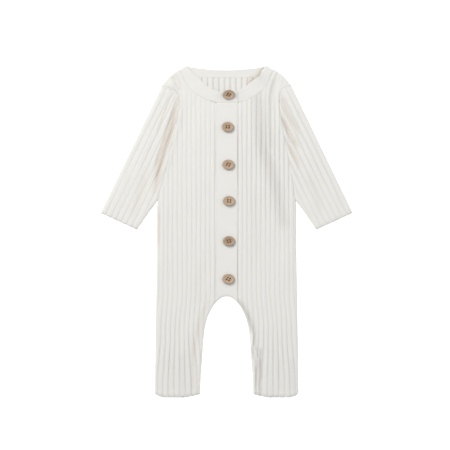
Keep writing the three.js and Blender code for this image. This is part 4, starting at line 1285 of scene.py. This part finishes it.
def button_threads(spec, settings):
    """The strands over a button's dish and the wound shank that holds it to the band."""
    offset = settings.hole_offset / MM
    place = button_place(spec)
    strands = []
    bold = spec[1] > NECK_SEAM_CENTRE
    for side in (-1, 1):
        for shift in (-0.24, 0.24) if bold else (0,):
            path = []
            for t in np.linspace(-1, 1, 11):
                rise = 2.05 - 1.5 * max(0.0, abs(t) - 0.7) / 0.3 - 0.1 * abs(t)
                path.append(place @ Vector((side * offset + shift, t * (offset + 0.1), rise)))
            strands.append(tube(path, 0.21 if bold else 0.15))
        for end in (-1, 1):
            # a dark plug of thread down each hole, which also stands in for the shade inside it
            ends = [place @ Vector((side * offset, end * offset, z)) for z in (0.1, 1.25)]
            strands.append(tube(ends, 0.9 * settings.hole_radius / MM, 12))
    foot = place @ Vector((0, 0, 0.1))
    for turn in (0, 1, 2):
        base = Vector((foot.x + 0.5 * math.cos(turn * 2.1), foot.y + 0.5 * math.sin(turn * 2.1), 4.6))
        strands.append(tube([base, (base + foot) / 2, foot], 0.75))
    return strands


# Stitching, laid along paths by one tree of geometry nodes

class NodeTree:
    """Makes and links nodes of one tree: type, settings, and the values or links of its sockets."""

    def __init__(self, tree):
        self.tree = tree

    def node(self, kind, options=None, **sockets):
        made = self.tree.nodes.new(kind)
        for key, value in (options or {}).items():
            setattr(made, key, value)
        for key, value in sockets.items():
            self.feed(made.inputs[self.socket(made, key)], value)
        return made

    def socket(self, made, key):
        wanted = key.replace("_", " ").lower()
        if wanted[:1] == "n" and wanted[1:].isdigit():
            return int(wanted[1:])
        for index, item in enumerate(made.inputs):
            if item.name.lower() == wanted and item.enabled:
                return index
        raise RuntimeError(f"{made.bl_idname} has no socket {key}")

    def feed(self, socket, value):
        value = getattr(value, "socket", value)
        if isinstance(value, bpy.types.NodeSocket):
            self.tree.links.new(value, socket)
        else:
            socket.default_value = value


def stitch_tree():
    """Lays short stitches of thread along the edges of a mesh."""
    tree = bpy.data.node_groups.new("Stitch line", "GeometryNodeTree")
    face = tree.interface
    face.new_socket("Geometry", in_out="INPUT", socket_type="NodeSocketGeometry")
    inputs = (
        ("Spacing", "NodeSocketFloat", 0.003), ("Stitch Length", "NodeSocketFloat", 0.0022),
        ("Thread Radius", "NodeSocketFloat", 0.0003), ("Unevenness", "NodeSocketFloat", 0.06),
        ("Seed", "NodeSocketInt", 7),
    )
    for label, kind, value in inputs:
        face.new_socket(label, in_out="INPUT", socket_type=kind).default_value = value
    face.new_socket("Thread", in_out="INPUT", socket_type="NodeSocketMaterial")
    face.new_socket("Geometry", in_out="OUTPUT", socket_type="NodeSocketGeometry")
    make = NodeTree(tree)
    given = make.node("NodeGroupInput").outputs
    curve = make.node("GeometryNodeMeshToCurve", Mesh=given["Geometry"])
    even = make.node("GeometryNodeResampleCurve", {"mode": "LENGTH"},
                     Curve=curve.outputs[0], Length=given["Spacing"])
    tangent = make.node("GeometryNodeInputTangent")
    aim = make.node("FunctionNodeAlignRotationToVector", {"axis": "X"}, Vector=tangent.outputs[0])
    spread = make.node("ShaderNodeMath", {"operation": "SUBTRACT"}, n0=1.0, n1=given["Unevenness"])
    size = make.node("FunctionNodeRandomValue", {"data_type": "FLOAT"},
                     n2=spread.outputs[0], n3=1.0, Seed=given["Seed"])
    ball = make.node("GeometryNodeMeshUVSphere", Segments=8, Rings=5, Radius=1.0)
    half = make.node("ShaderNodeMath", {"operation": "MULTIPLY"}, n0=given["Stitch Length"], n1=0.5)
    shape = make.node("ShaderNodeCombineXYZ", X=half.outputs[0],
                      Y=given["Thread Radius"], Z=given["Thread Radius"])
    strand = make.node("GeometryNodeTransform", Geometry=ball.outputs[0], Scale=shape.outputs[0])
    placed = make.node("GeometryNodeInstanceOnPoints", Points=even.outputs[0],
                       Instance=strand.outputs[0], Rotation=aim.outputs[0], Scale=size.outputs[1])
    soft = make.node("GeometryNodeSetShadeSmooth", Geometry=placed.outputs[0])
    real = make.node("GeometryNodeRealizeInstances", Geometry=soft.outputs[0])
    dressed = make.node("GeometryNodeSetMaterial", Geometry=real.outputs[0], Material=given["Thread"])
    result = make.node("NodeGroupOutput")
    tree.links.new(dressed.outputs[0], result.inputs[0])
    return tree


def set_input(modifier, label, value):
    for item in modifier.node_group.interface.items_tree:
        if item.item_type == "SOCKET" and item.in_out == "INPUT" and item.name == label:
            modifier[item.identifier] = value
            return
    raise RuntimeError(f"the stitch tree has no input {label}")


def stitch_along(name, paths, settings, thread, tree):
    """One piece of stitching over several paths in millimetres."""
    points, edges = [], []
    for path in paths:
        start = len(points)
        points += [tuple(float(c) * MM for c in p) for p in path]
        edges += [(i, i + 1) for i in range(start, len(points) - 1)]
    mesh = bpy.data.meshes.new(name)
    mesh.from_pydata(points, edges, [])
    thing = put_in_scene(name, mesh)
    layer = thing.modifiers.new("stitches", "NODES")
    layer.node_group = tree
    set_input(layer, "Spacing", settings.spacing)
    set_input(layer, "Stitch Length", settings.stitch_length)
    set_input(layer, "Thread Radius", settings.thread_radius)
    set_input(layer, "Seed", settings.seed)
    set_input(layer, "Thread", thread)
    sewn = evaluated_mesh(thing)
    if len(sewn.polygons) == 0:
        raise RuntimeError(f"{name}: the stitch tree made nothing")
    thing.modifiers.remove(layer)
    thing.data = sewn
    sewn.name = name
    if thread.name not in [m.name for m in sewn.materials if m]:
        sewn.materials.append(thread)
    bpy.data.meshes.remove(mesh)
    return thing


def on_front(x, y, cloth):
    """Height of a front's upper face over these places."""
    x, y = np.array(x, float), np.array(y, float)
    pitch = cloth.rib_pitch / MM
    shape, _ = rib_shape(lay_counts(np.abs(x), y, pitch))
    strength = rib_strength(x, y)
    return top_skin(x, y, rib_relief(shape, strength, cloth), 0, cloth)[0]


def on_sleeve(side, t, p, cloth):
    """Places on a sleeve's upper face."""
    out, y = from_sleeve(t, p)
    x = side * out
    shape, _, strength = sleeve_ribs(x, y, t, p, cloth.sleeve_rib_pitch / MM)
    z, _ = top_skin(x, y, rib_relief(shape, strength, cloth), 0, cloth)
    return np.column_stack([x, y, z])


def stitch_paths(cloth):
    paths = {"hem_stitches": [], "band_stitches": [], "neck_stitches": []}
    for side in (-1, 1):
        out = np.linspace(44, 103, 60)
        y = hem_y(out) + 4.2
        z = on_front(side * out, y, cloth)
        paths["hem_stitches"].append(np.column_stack([side * out, y, z + 0.02]))
        p = np.linspace(4, 57, 54)
        t = SLEEVE_LENGTH - 4.4 + (to_sleeve(*CUFF_UNDERARM)[0] - SLEEVE_LENGTH) * p / 61.3
        line = on_sleeve(side, t, p, cloth)
        line[:, 2] += 0.02
        paths["hem_stitches"].append(line)
    for x in (-15.2, 15.2):
        y = np.linspace(190, -98, 240)
        row = np.full(len(y), x)
        level = BAND_TOP + 0.02 - band_swell(row, y)
        z = TOP_EDGE + (level - TOP_EDGE) * rounding(fold_distance(row, y), FOLD_RADIUS)
        z -= button_press(row, y)
        paths["band_stitches"].append(np.column_stack([row, y, z]))
    for side in (-1, 1):
        line = []
        for y in neck_heights()[2:-1]:
            out = float(neck_out(y)) - 1.7 * lean(neck_out, y) / 1.3
            level = band_level(side * out, side) + NECKBAND_WALL / 2 + 0.04
            line.append((side * out, y + 0.5, level + band_lift(side * out) * 0.03))
        paths["neck_stitches"].append(np.array(line))
    x = np.linspace(-50, 50, 100)
    y = back_neck_y(x) + 0.1
    paths["neck_stitches"].append(np.column_stack([x, y, np.full(len(x), 2.15)]))
    return paths


# Materials

class Value:
    """A number that varies over a surface, for sums written as expressions."""

    def __init__(self, make, socket):
        self.make = make
        self.socket = socket

    def math(self, operation, *others):
        sockets = {f"n{i}": item for i, item in enumerate((self, *others))}
        made = self.make.node("ShaderNodeMath", {"operation": operation}, **sockets)
        return Value(self.make, made.outputs[0])

    def reflected(self, operation, other):
        made = self.make.node("ShaderNodeMath", {"operation": operation}, n0=other, n1=self)
        return Value(self.make, made.outputs[0])

    def __add__(self, other):
        return self.math("ADD", other)

    __radd__ = __add__

    def __sub__(self, other):
        return self.math("SUBTRACT", other)

    def __rsub__(self, other):
        return self.reflected("SUBTRACT", other)

    def __mul__(self, other):
        return self.math("MULTIPLY", other)

    __rmul__ = __mul__

    def __truediv__(self, other):
        return self.math("DIVIDE", other)

    def __rtruediv__(self, other):
        return self.reflected("DIVIDE", other)

    def __pow__(self, other):
        return self.math("POWER", other)

    def part(self):
        return self.math("FRACT")

    def size(self):
        return self.math("ABSOLUTE")

    def wave(self):
        return self.math("COSINE")

    def between(self, low, high):
        made = self.make.node("ShaderNodeMapRange", {"interpolation_type": "SMOOTHSTEP"},
                              Value=self, From_Min=low, From_Max=high, To_Min=0.0, To_Max=1.0)
        return Value(self.make, made.outputs[0])


class Finish(NodeTree):
    """A material whose nodes are made by one method and summed as expressions."""

    def __init__(self, name):
        self.material = bpy.data.materials.new(name)
        self.material.use_nodes = True
        super().__init__(self.material.node_tree)
        self.tree.nodes.clear()
        self.shader = self.node("ShaderNodeBsdfPrincipled")
        out = self.node("ShaderNodeOutputMaterial")
        self.tree.links.new(self.shader.outputs[0], out.inputs[0])

    def kept(self, name):
        """Reads what is stored with the points of a mesh."""
        options = {"attribute_name": name, "attribute_type": "GEOMETRY"}
        return self.node("ShaderNodeAttribute", options).outputs

    def field(self, name):
        return Value(self, self.kept(name)["Fac"])

    def place(self, name):
        return self.kept(name)["Vector"]

    def split(self, vector):
        made = self.node("ShaderNodeSeparateXYZ", Vector=vector)
        return [Value(self, made.outputs[i]) for i in range(3)]

    def joined(self, x, y, z):
        return self.node("ShaderNodeCombineXYZ", X=x, Y=y, Z=z).outputs[0]

    def noise(self, vector, scale, detail=2.0, roughness=0.5):
        made = self.node("ShaderNodeTexNoise", Vector=vector, Scale=scale, Detail=detail,
                         Roughness=roughness)
        return Value(self, made.outputs["Fac"])

    def mixed(self, factor, first, second):
        made = self.node("ShaderNodeMix", {"data_type": "RGBA", "clamp_factor": True})
        self.feed(made.inputs[0], factor)
        self.feed(made.inputs[6], first)
        self.feed(made.inputs[7], second)
        return made.outputs[2]

    def bump(self, height, distance, strength=1.0):
        made = self.node("ShaderNodeBump", Height=height, Distance=distance, Strength=strength)
        self.feed(self.shader.inputs["Normal"], made.outputs[0])

    def set(self, **values):
        for key, value in values.items():
            self.feed(self.shader.inputs[key.replace("_", " ")], value)


def rgba(colour):
    return (colour[0], colour[1], colour[2], 1.0)


def knit_finish(name, colour, cloth, look, fine):
    """Plain knit: columns of small V stitches, a matt face with a soft nap, painted shade in the rib
    valleys and the stitches' low parts, and painted warm shade in the folds.
    """
    make = Finish(name)
    lay = make.place("lay")
    across, along, _ = make.split(lay)
    wale = cloth.wale / MM * fine
    course = cloth.course / MM * fine
    column = (across / wale).part()
    side = (column - 0.5).size() * 2.0
    loop = ((along / course + side * 0.55) * (2 * math.pi)).wave() * 0.5 + 0.5
    groove = side ** 4.0
    height = loop * 0.55 + (1.0 - groove) * 0.45
    slub = make.noise(lay, 0.9, 3.0)
    make.bump(height * 0.85 + slub * 0.3, look.stitch_depth)
    valley, shade = make.field("valley"), make.field("shade")
    blotch = make.noise(lay, 0.045, 2.0)
    base = make.mixed(blotch * 0.5, rgba(colour), rgba(look.cloth_cool))
    # painted shade: rib valleys, seam dips and grey shadows darkened from the valley attribute
    base = make.mixed(valley * look.valley_shade_strength, base, rgba(look.valley_shade_colour))
    # painted warm shade of folds, linings and lifted edges from the shade attribute
    base = make.mixed(shade * look.fold_shade_strength, base, rgba(look.fold_shade_colour))
    # painted shade in the low parts of each knit stitch
    base = make.mixed((1.0 - height) * 0.08, base, rgba(look.valley_shade_colour))
    make.set(Base_Color=base, Roughness=0.92, Specular_IOR_Level=0.2, Sheen_Weight=0.25,
             Sheen_Roughness=0.45)
    return make.material


def thread_finish(name, colour):
    make = Finish(name)
    coord = make.node("ShaderNodeTexCoord").outputs["Object"]
    twist = make.node("ShaderNodeTexWave", {"wave_type": "BANDS", "bands_direction": "DIAGONAL"},
                      Vector=coord, Scale=900.0, Distortion=1.5)
    height = Value(make, twist.outputs["Fac"])
    base = make.mixed(height * 0.25, rgba(colour), rgba([c * 0.7 for c in colour]))
    make.set(Base_Color=base, Roughness=0.8, Specular_IOR_Level=0.25)
    make.bump(height, 0.00008)
    return make.material


def wood_finish(look, hole):
    """Turned wood with short grain, mottled in the dish and scorched to olive brown at the rim."""
    make = Finish("button wood")
    lay = make.place("lay")
    x, y, seed = make.split(lay)
    tone = make.field("tone")
    radius = (x * x + y * y) ** 0.5
    grain = make.noise(make.joined(x * 2.6, y * 0.5, seed), 1.0, 4.0, 0.6)
    mottle = make.noise(make.joined(x * 0.42, y * 0.42, seed), 1.0, 3.0, 0.55)
    specks = make.noise(make.joined(x * 2.2, y * 2.2, seed), 1.0, 2.0)
    base = make.mixed(tone, rgba(look.wood_deep), rgba(look.wood_light))
    base = make.mixed(grain.between(0.35, 0.68) * 0.42, base, rgba(look.wood_deep))
    base = make.mixed(mottle.between(0.48, 0.72) * (tone * 0.55 + 0.2), base, rgba(look.wood_pale))
    base = make.mixed(specks.between(0.6, 0.74) * 0.5, base, rgba(look.wood_dark))
    ring = (radius + (mottle - 0.5) * 1.6).between(6.4, 7.6)
    base = make.mixed(ring * 0.7, base, rgba(look.wood_rim))
    edge = radius.between(8.2, 8.9)
    base = make.mixed(edge * 0.6, base, rgba(look.wood_dark))
    # painted shade darkening the four holes
    hx, hy = x.size() - hole, y.size() - hole
    painted_hole_shade = 1.0 - ((hx * hx + hy * hy) ** 0.5).between(1.0, 1.55)
    base = make.mixed(painted_hole_shade * 0.9, base, rgba(look.wood_dark))
    make.set(Base_Color=base, Roughness=0.5 + grain * 0.2, Specular_IOR_Level=0.4, Coat_Weight=0.08)
    make.bump(grain * 0.6 + specks * 0.3, 0.00006)
    return make.material


def floor_finish(colour, glow):
    make = Finish("studio floor")
    make.set(Base_Color=rgba(colour), Roughness=0.9, Specular_IOR_Level=0.1,
             Emission_Color=rgba((1, 1, 1)), Emission_Strength=glow)
    return make.material


# Settings that a user would change

def colour(label, text, value):
    return bpy.props.FloatVectorProperty(
        name=label, description=text, subtype="COLOR", size=3, min=0, max=1, default=value)


def length(label, text, value):
    return bpy.props.FloatProperty(
        name=label, description=text, default=value, min=0, unit="LENGTH", precision=5)


class RomperCloth(bpy.types.PropertyGroup):
    wall: length("Cloth thickness", "Thickness of the rib knit", 0.0016)
    rib_pitch: length("Rib spacing", "Distance from rib to rib on the body", 0.007)
    rib_height: length("Rib height", "Height of a rib over its valley", 0.0007)
    sleeve_rib_pitch: length("Sleeve rib spacing", "Distance from rib to rib on a sleeve", 0.0087)
    neck_rib_pitch: length("Inner rib spacing", "Rib spacing seen inside the neck", 0.00855)
    seam_dip: length("Seam dip", "How far the cloth dips at a sewn seam", 0.0009)
    wale: length("Knit column", "Width of one column of knit stitches", 0.00116)
    course: length("Knit row", "Height of one row of knit stitches", 0.00095)
    fold_depth: bpy.props.FloatProperty(
        name="Fold depth", description="Share of the soft folds' height", default=1.0, min=0, max=1.5)


class RomperLook(bpy.types.PropertyGroup):
    cloth_colour: colour("Cloth", "Warm off-white of the rib knit", (0.83, 0.815, 0.78))
    band_colour: colour("Band cloth", "Off-white of the bands", (0.83, 0.82, 0.785))
    cloth_cool: colour("Cloth, cool", "Cooler tone that the cloth drifts to", (0.80, 0.80, 0.785))
    # painted shade: the grey mixed into the rib valleys, the seam dips and the grey shadows of the
    # fronts
    valley_shade_colour: colour("Rib valley", "Tone between the ribs", (0.60, 0.59, 0.56))
    # painted shade: the warm brown mixed into deep folds, under the neckband's lifted edge, on hidden
    # linings and along the top band's free edge
    fold_shade_colour: colour("Deep fold", "Warm tone deep in a fold", (0.60, 0.50, 0.40))
    # share of that painted valley shade
    valley_shade_strength: bpy.props.FloatProperty(
        name="Valley tone", description="How strongly rib valleys darken", default=0.26, min=0, max=1)
    # share of that painted warm shade
    fold_shade_strength: bpy.props.FloatProperty(
        name="Fold tone", description="How strongly deep folds warm", default=0.6, min=0, max=1)
    stitch_depth: length("Stitch depth", "Relief of the knit stitches", 0.00016)
    wood_light: colour("Wood", "Body tone of the buttons", (0.55, 0.385, 0.265))
    wood_pale: colour("Wood, pale", "Pale patches in the dish", (0.74, 0.56, 0.41))
    wood_deep: colour("Wood, deep", "Grain of the buttons", (0.38, 0.26, 0.165))
    wood_dark: colour("Wood, dark", "Specks and the outer edge", (0.14, 0.105, 0.065))
    wood_rim: colour("Wood, rim", "Olive brown of the raised rim", (0.46, 0.38, 0.285))
    seam_thread: colour("Seam thread", "Thread of the seams", (0.80, 0.785, 0.74))
    button_thread: colour("Button thread", "Thread that holds the buttons", (0.075, 0.045, 0.02))


class RomperButtons(bpy.types.PropertyGroup):
    hole_radius: length("Hole radius", "Radius of a button's hole", 0.00125)
    hole_offset: length("Hole offset", "Distance of a hole from the middle, each way", 0.00192)


class RomperStitches(bpy.types.PropertyGroup):
    spacing: length("Stitch spacing", "Distance from stitch to stitch", 0.0031)
    stitch_length: length("Stitch length", "Length of one stitch", 0.0024)
    thread_radius: length("Thread radius", "Half thickness of the thread", 0.00022)
    seed: bpy.props.IntProperty(name="Seed", description="Seed of the uneven stitches", default=7)


class RomperStage(bpy.types.PropertyGroup):
    floor_colour: colour("Floor", "Colour of the floor", (0.94, 0.94, 0.94))
    floor_glow: bpy.props.FloatProperty(
        name="Floor glow", description="Light that the white floor gives off", default=0.6, min=0)
    key_power: bpy.props.FloatProperty(
        name="Key light", description="Power of the soft key light in watts", default=41, min=0)
    fill_power: bpy.props.FloatProperty(
        name="Fill light", description="Power of the soft fill light in watts", default=7, min=0)
    sky_strength: bpy.props.FloatProperty(
        name="Room light", description="Strength of the even light all round", default=0.50, min=0)
    view_width: length("View width", "Width of the photographed field", 0.675)
    view_height: length("Camera height", "Height of the camera over the floor", 2.6)


GROUPS = {
    "romper_cloth": RomperCloth, "romper_look": RomperLook, "romper_buttons": RomperButtons,
    "romper_stitches": RomperStitches, "romper_stage": RomperStage,
}


# Operators

def dress(piece, node):
    """Puts a cloth piece in place of its solid."""
    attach(piece, "root")
    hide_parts(node)
    return piece


def finish_of(name, make):
    return bpy.data.materials.get(name) or make()


def rib_cloth(scene):
    look = scene.romper_look
    return finish_of("rib knit", lambda: knit_finish(
        "rib knit", look.cloth_colour, scene.romper_cloth, look, 1.0))


def band_cloth(scene):
    look = scene.romper_look
    return finish_of("band knit", lambda: knit_finish(
        "band knit", look.band_colour, scene.romper_cloth, look, 0.86))


class ROMPER_OT_back(bpy.types.Operator):
    """Make the back with both legs, its underside and the ribs seen inside the neck"""
    bl_idname = "romper.back"
    bl_label = "Back"

    def execute(self, context):
        scene = context.scene
        piece = make_back("cloth_back", rib_cloth(scene), scene.romper_cloth)
        dress(piece, "back")
        return {"FINISHED"}


class ROMPER_OT_fronts(bpy.types.Operator):
    """Make the two fronts, each with its leg"""
    bl_idname = "romper.fronts"
    bl_label = "Fronts"

    def execute(self, context):
        scene = context.scene
        for node, side in (("front_right", -1), ("front_left", 1)):
            piece = make_front(f"cloth_{node}", side, rib_cloth(scene), scene.romper_cloth)
            dress(piece, node)
        return {"FINISHED"}


class ROMPER_OT_sleeves(bpy.types.Operator):
    """Make the two sleeves, each folded flat along its outer edge"""
    bl_idname = "romper.sleeves"
    bl_label = "Sleeves"

    def execute(self, context):
        scene = context.scene
        for node, side in (("sleeve_right", -1), ("sleeve_left", 1)):
            piece = make_sleeve(f"cloth_{node}", side, rib_cloth(scene), scene.romper_cloth)
            dress(piece, node)
        return {"FINISHED"}


class ROMPER_OT_neckband(bpy.types.Operator):
    """Make the neckband that goes round the neck and overlaps at the centre front"""
    bl_idname = "romper.neckband"
    bl_label = "Neckband"

    def execute(self, context):
        scene = context.scene
        piece = make_neckband("cloth_neckband", band_cloth(scene))
        dress(piece, "neckband")
        return {"FINISHED"}


class ROMPER_OT_button_bands(bpy.types.Operator):
    """Make the buttonhole band and the button band under it"""
    bl_idname = "romper.button_bands"
    bl_label = "Button bands"

    def execute(self, context):
        scene = context.scene
        top = make_band_top("cloth_placket_top", band_cloth(scene))
        dress(top, "placket_top")
        under = make_band_under("cloth_placket_under", band_cloth(scene))
        dress(under, "placket_under")
        return {"FINISHED"}


class ROMPER_OT_buttons(bpy.types.Operator):
    """Make the six four-hole wooden buttons with their thread"""
    bl_idname = "romper.buttons"
    bl_label = "Buttons"

    def execute(self, context):
        scene = context.scene
        settings = scene.romper_buttons
        wood = finish_of("button wood", lambda: wood_finish(
            scene.romper_look, settings.hole_offset / MM))
        thread = finish_of("button thread", lambda: thread_finish(
            "button thread", scene.romper_look.button_thread))
        blank = button_blank(settings)
        points, faces = [], []
        for number, spec in enumerate(BUTTONS, 1):
            piece = make_button(f"wood_button_{number}", spec, blank, wood)
            dress(piece, f"button_{number}")
            for verts, sides in button_threads(spec, settings):
                faces += [tuple(i + len(points) for i in face) for face in sides]
                points += [tuple(v * MM) for v in verts]
        bpy.data.meshes.remove(blank)
        threads = plain_object("button_thread", points, faces)
        threads.data.materials.append(thread)
        threads.data.shade_smooth()
        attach(threads, "root")
        return {"FINISHED"}


class ROMPER_OT_stitching(bpy.types.Operator):
    """Sew the rows of stitches along the hems, the bands and the neck"""
    bl_idname = "romper.stitching"
    bl_label = "Stitching"

    def execute(self, context):
        scene = context.scene
        thread = finish_of("seam thread", lambda: thread_finish(
            "seam thread", scene.romper_look.seam_thread))
        tree = stitch_tree()
        for name, paths in stitch_paths(scene.romper_cloth).items():
            piece = stitch_along(name, paths, scene.romper_stitches, thread, tree)
            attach(piece, "root")
        return {"FINISHED"}


VIEW_MIDDLE = (-0.0024, 0.0094, 0)
SENSOR_WIDTH = 36


def soft_light(name, place, aim, size, power, tint):
    light = bpy.data.lights.new(name, "AREA")
    light.shape = "DISK"
    light.size = size
    light.energy = power
    light.color = tint
    lamp = put_in_scene(name, light)
    lamp.location = place
    lamp.rotation_euler = (Vector(aim) - Vector(place)).to_track_quat("-Z", "Y").to_euler()


class ROMPER_OT_stage(bpy.types.Operator):
    """Set the pale floor, the soft lights and the camera straight above"""
    bl_idname = "romper.stage"
    bl_label = "Studio"

    def execute(self, context):
        scene = context.scene
        stage = scene.romper_stage
        bpy.ops.mesh.primitive_plane_add(size=8, location=(0, 0, -0.0002))
        floor = context.object
        floor.name = "studio_floor"
        floor.data.materials.append(floor_finish(stage.floor_colour, stage.floor_glow))
        floor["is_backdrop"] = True
        middle = VIEW_MIDDLE
        soft_light("key light", (-1.1, 1.25, 2.1), middle, 1.3, stage.key_power, (1, 0.99, 0.975))
        soft_light("fill light", (1.3, 0.3, 1.8), middle, 1.6, stage.fill_power, (0.97, 0.985, 1))
        world = bpy.data.worlds.new("studio room")
        world.use_nodes = True
        room = world.node_tree.nodes["Background"]
        room.inputs["Color"].default_value = (1, 1, 1, 1)
        room.inputs["Strength"].default_value = stage.sky_strength
        scene.world = world
        scene.view_settings.view_transform = "Standard"
        lens = bpy.data.cameras.new("camera")
        lens.sensor_fit = "HORIZONTAL"
        lens.sensor_width = SENSOR_WIDTH
        lens.lens = SENSOR_WIDTH * stage.view_height / stage.view_width
        camera = put_in_scene("camera", lens)
        camera.location = (middle[0], middle[1], stage.view_height)
        scene.camera = camera
        return {"FINISHED"}


OPERATORS = [
    ROMPER_OT_stage, ROMPER_OT_back, ROMPER_OT_fronts, ROMPER_OT_sleeves, ROMPER_OT_neckband,
    ROMPER_OT_button_bands, ROMPER_OT_buttons, ROMPER_OT_stitching,
]


class ROMPER_PT_panel(bpy.types.Panel):
    """Lists the romper's pieces and their settings"""
    bl_idname = "ROMPER_PT_panel"
    bl_label = "Baby romper"
    bl_space_type = "VIEW_3D"
    bl_region_type = "UI"
    bl_category = "Romper"

    def draw(self, context):
        layout = self.layout
        for group, kind in GROUPS.items():
            box = layout.box()
            for name in kind.__annotations__:
                box.prop(getattr(context.scene, group), name)
        for operator in OPERATORS:
            layout.operator(operator.bl_idname)


CLASSES = [*GROUPS.values(), *OPERATORS, ROMPER_PT_panel]


def register():
    for item in CLASSES:
        bpy.utils.register_class(item)
    for group, kind in GROUPS.items():
        setattr(bpy.types.Scene, group, bpy.props.PointerProperty(type=kind))


def unregister():
    for group in GROUPS:
        delattr(bpy.types.Scene, group)
    for item in reversed(CLASSES):
        bpy.utils.unregister_class(item)


def main():
    register()
    for operator in OPERATORS:
        family, name = operator.bl_idname.split(".")
        getattr(getattr(bpy.ops, family), name)()
    boxes = {"cad": CAD_BOX, "visual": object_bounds()}
    plain = {key: np.array([list(v) for v in box]).tolist() for key, box in boxes.items()}


if __name__ == "__main__":
    main()
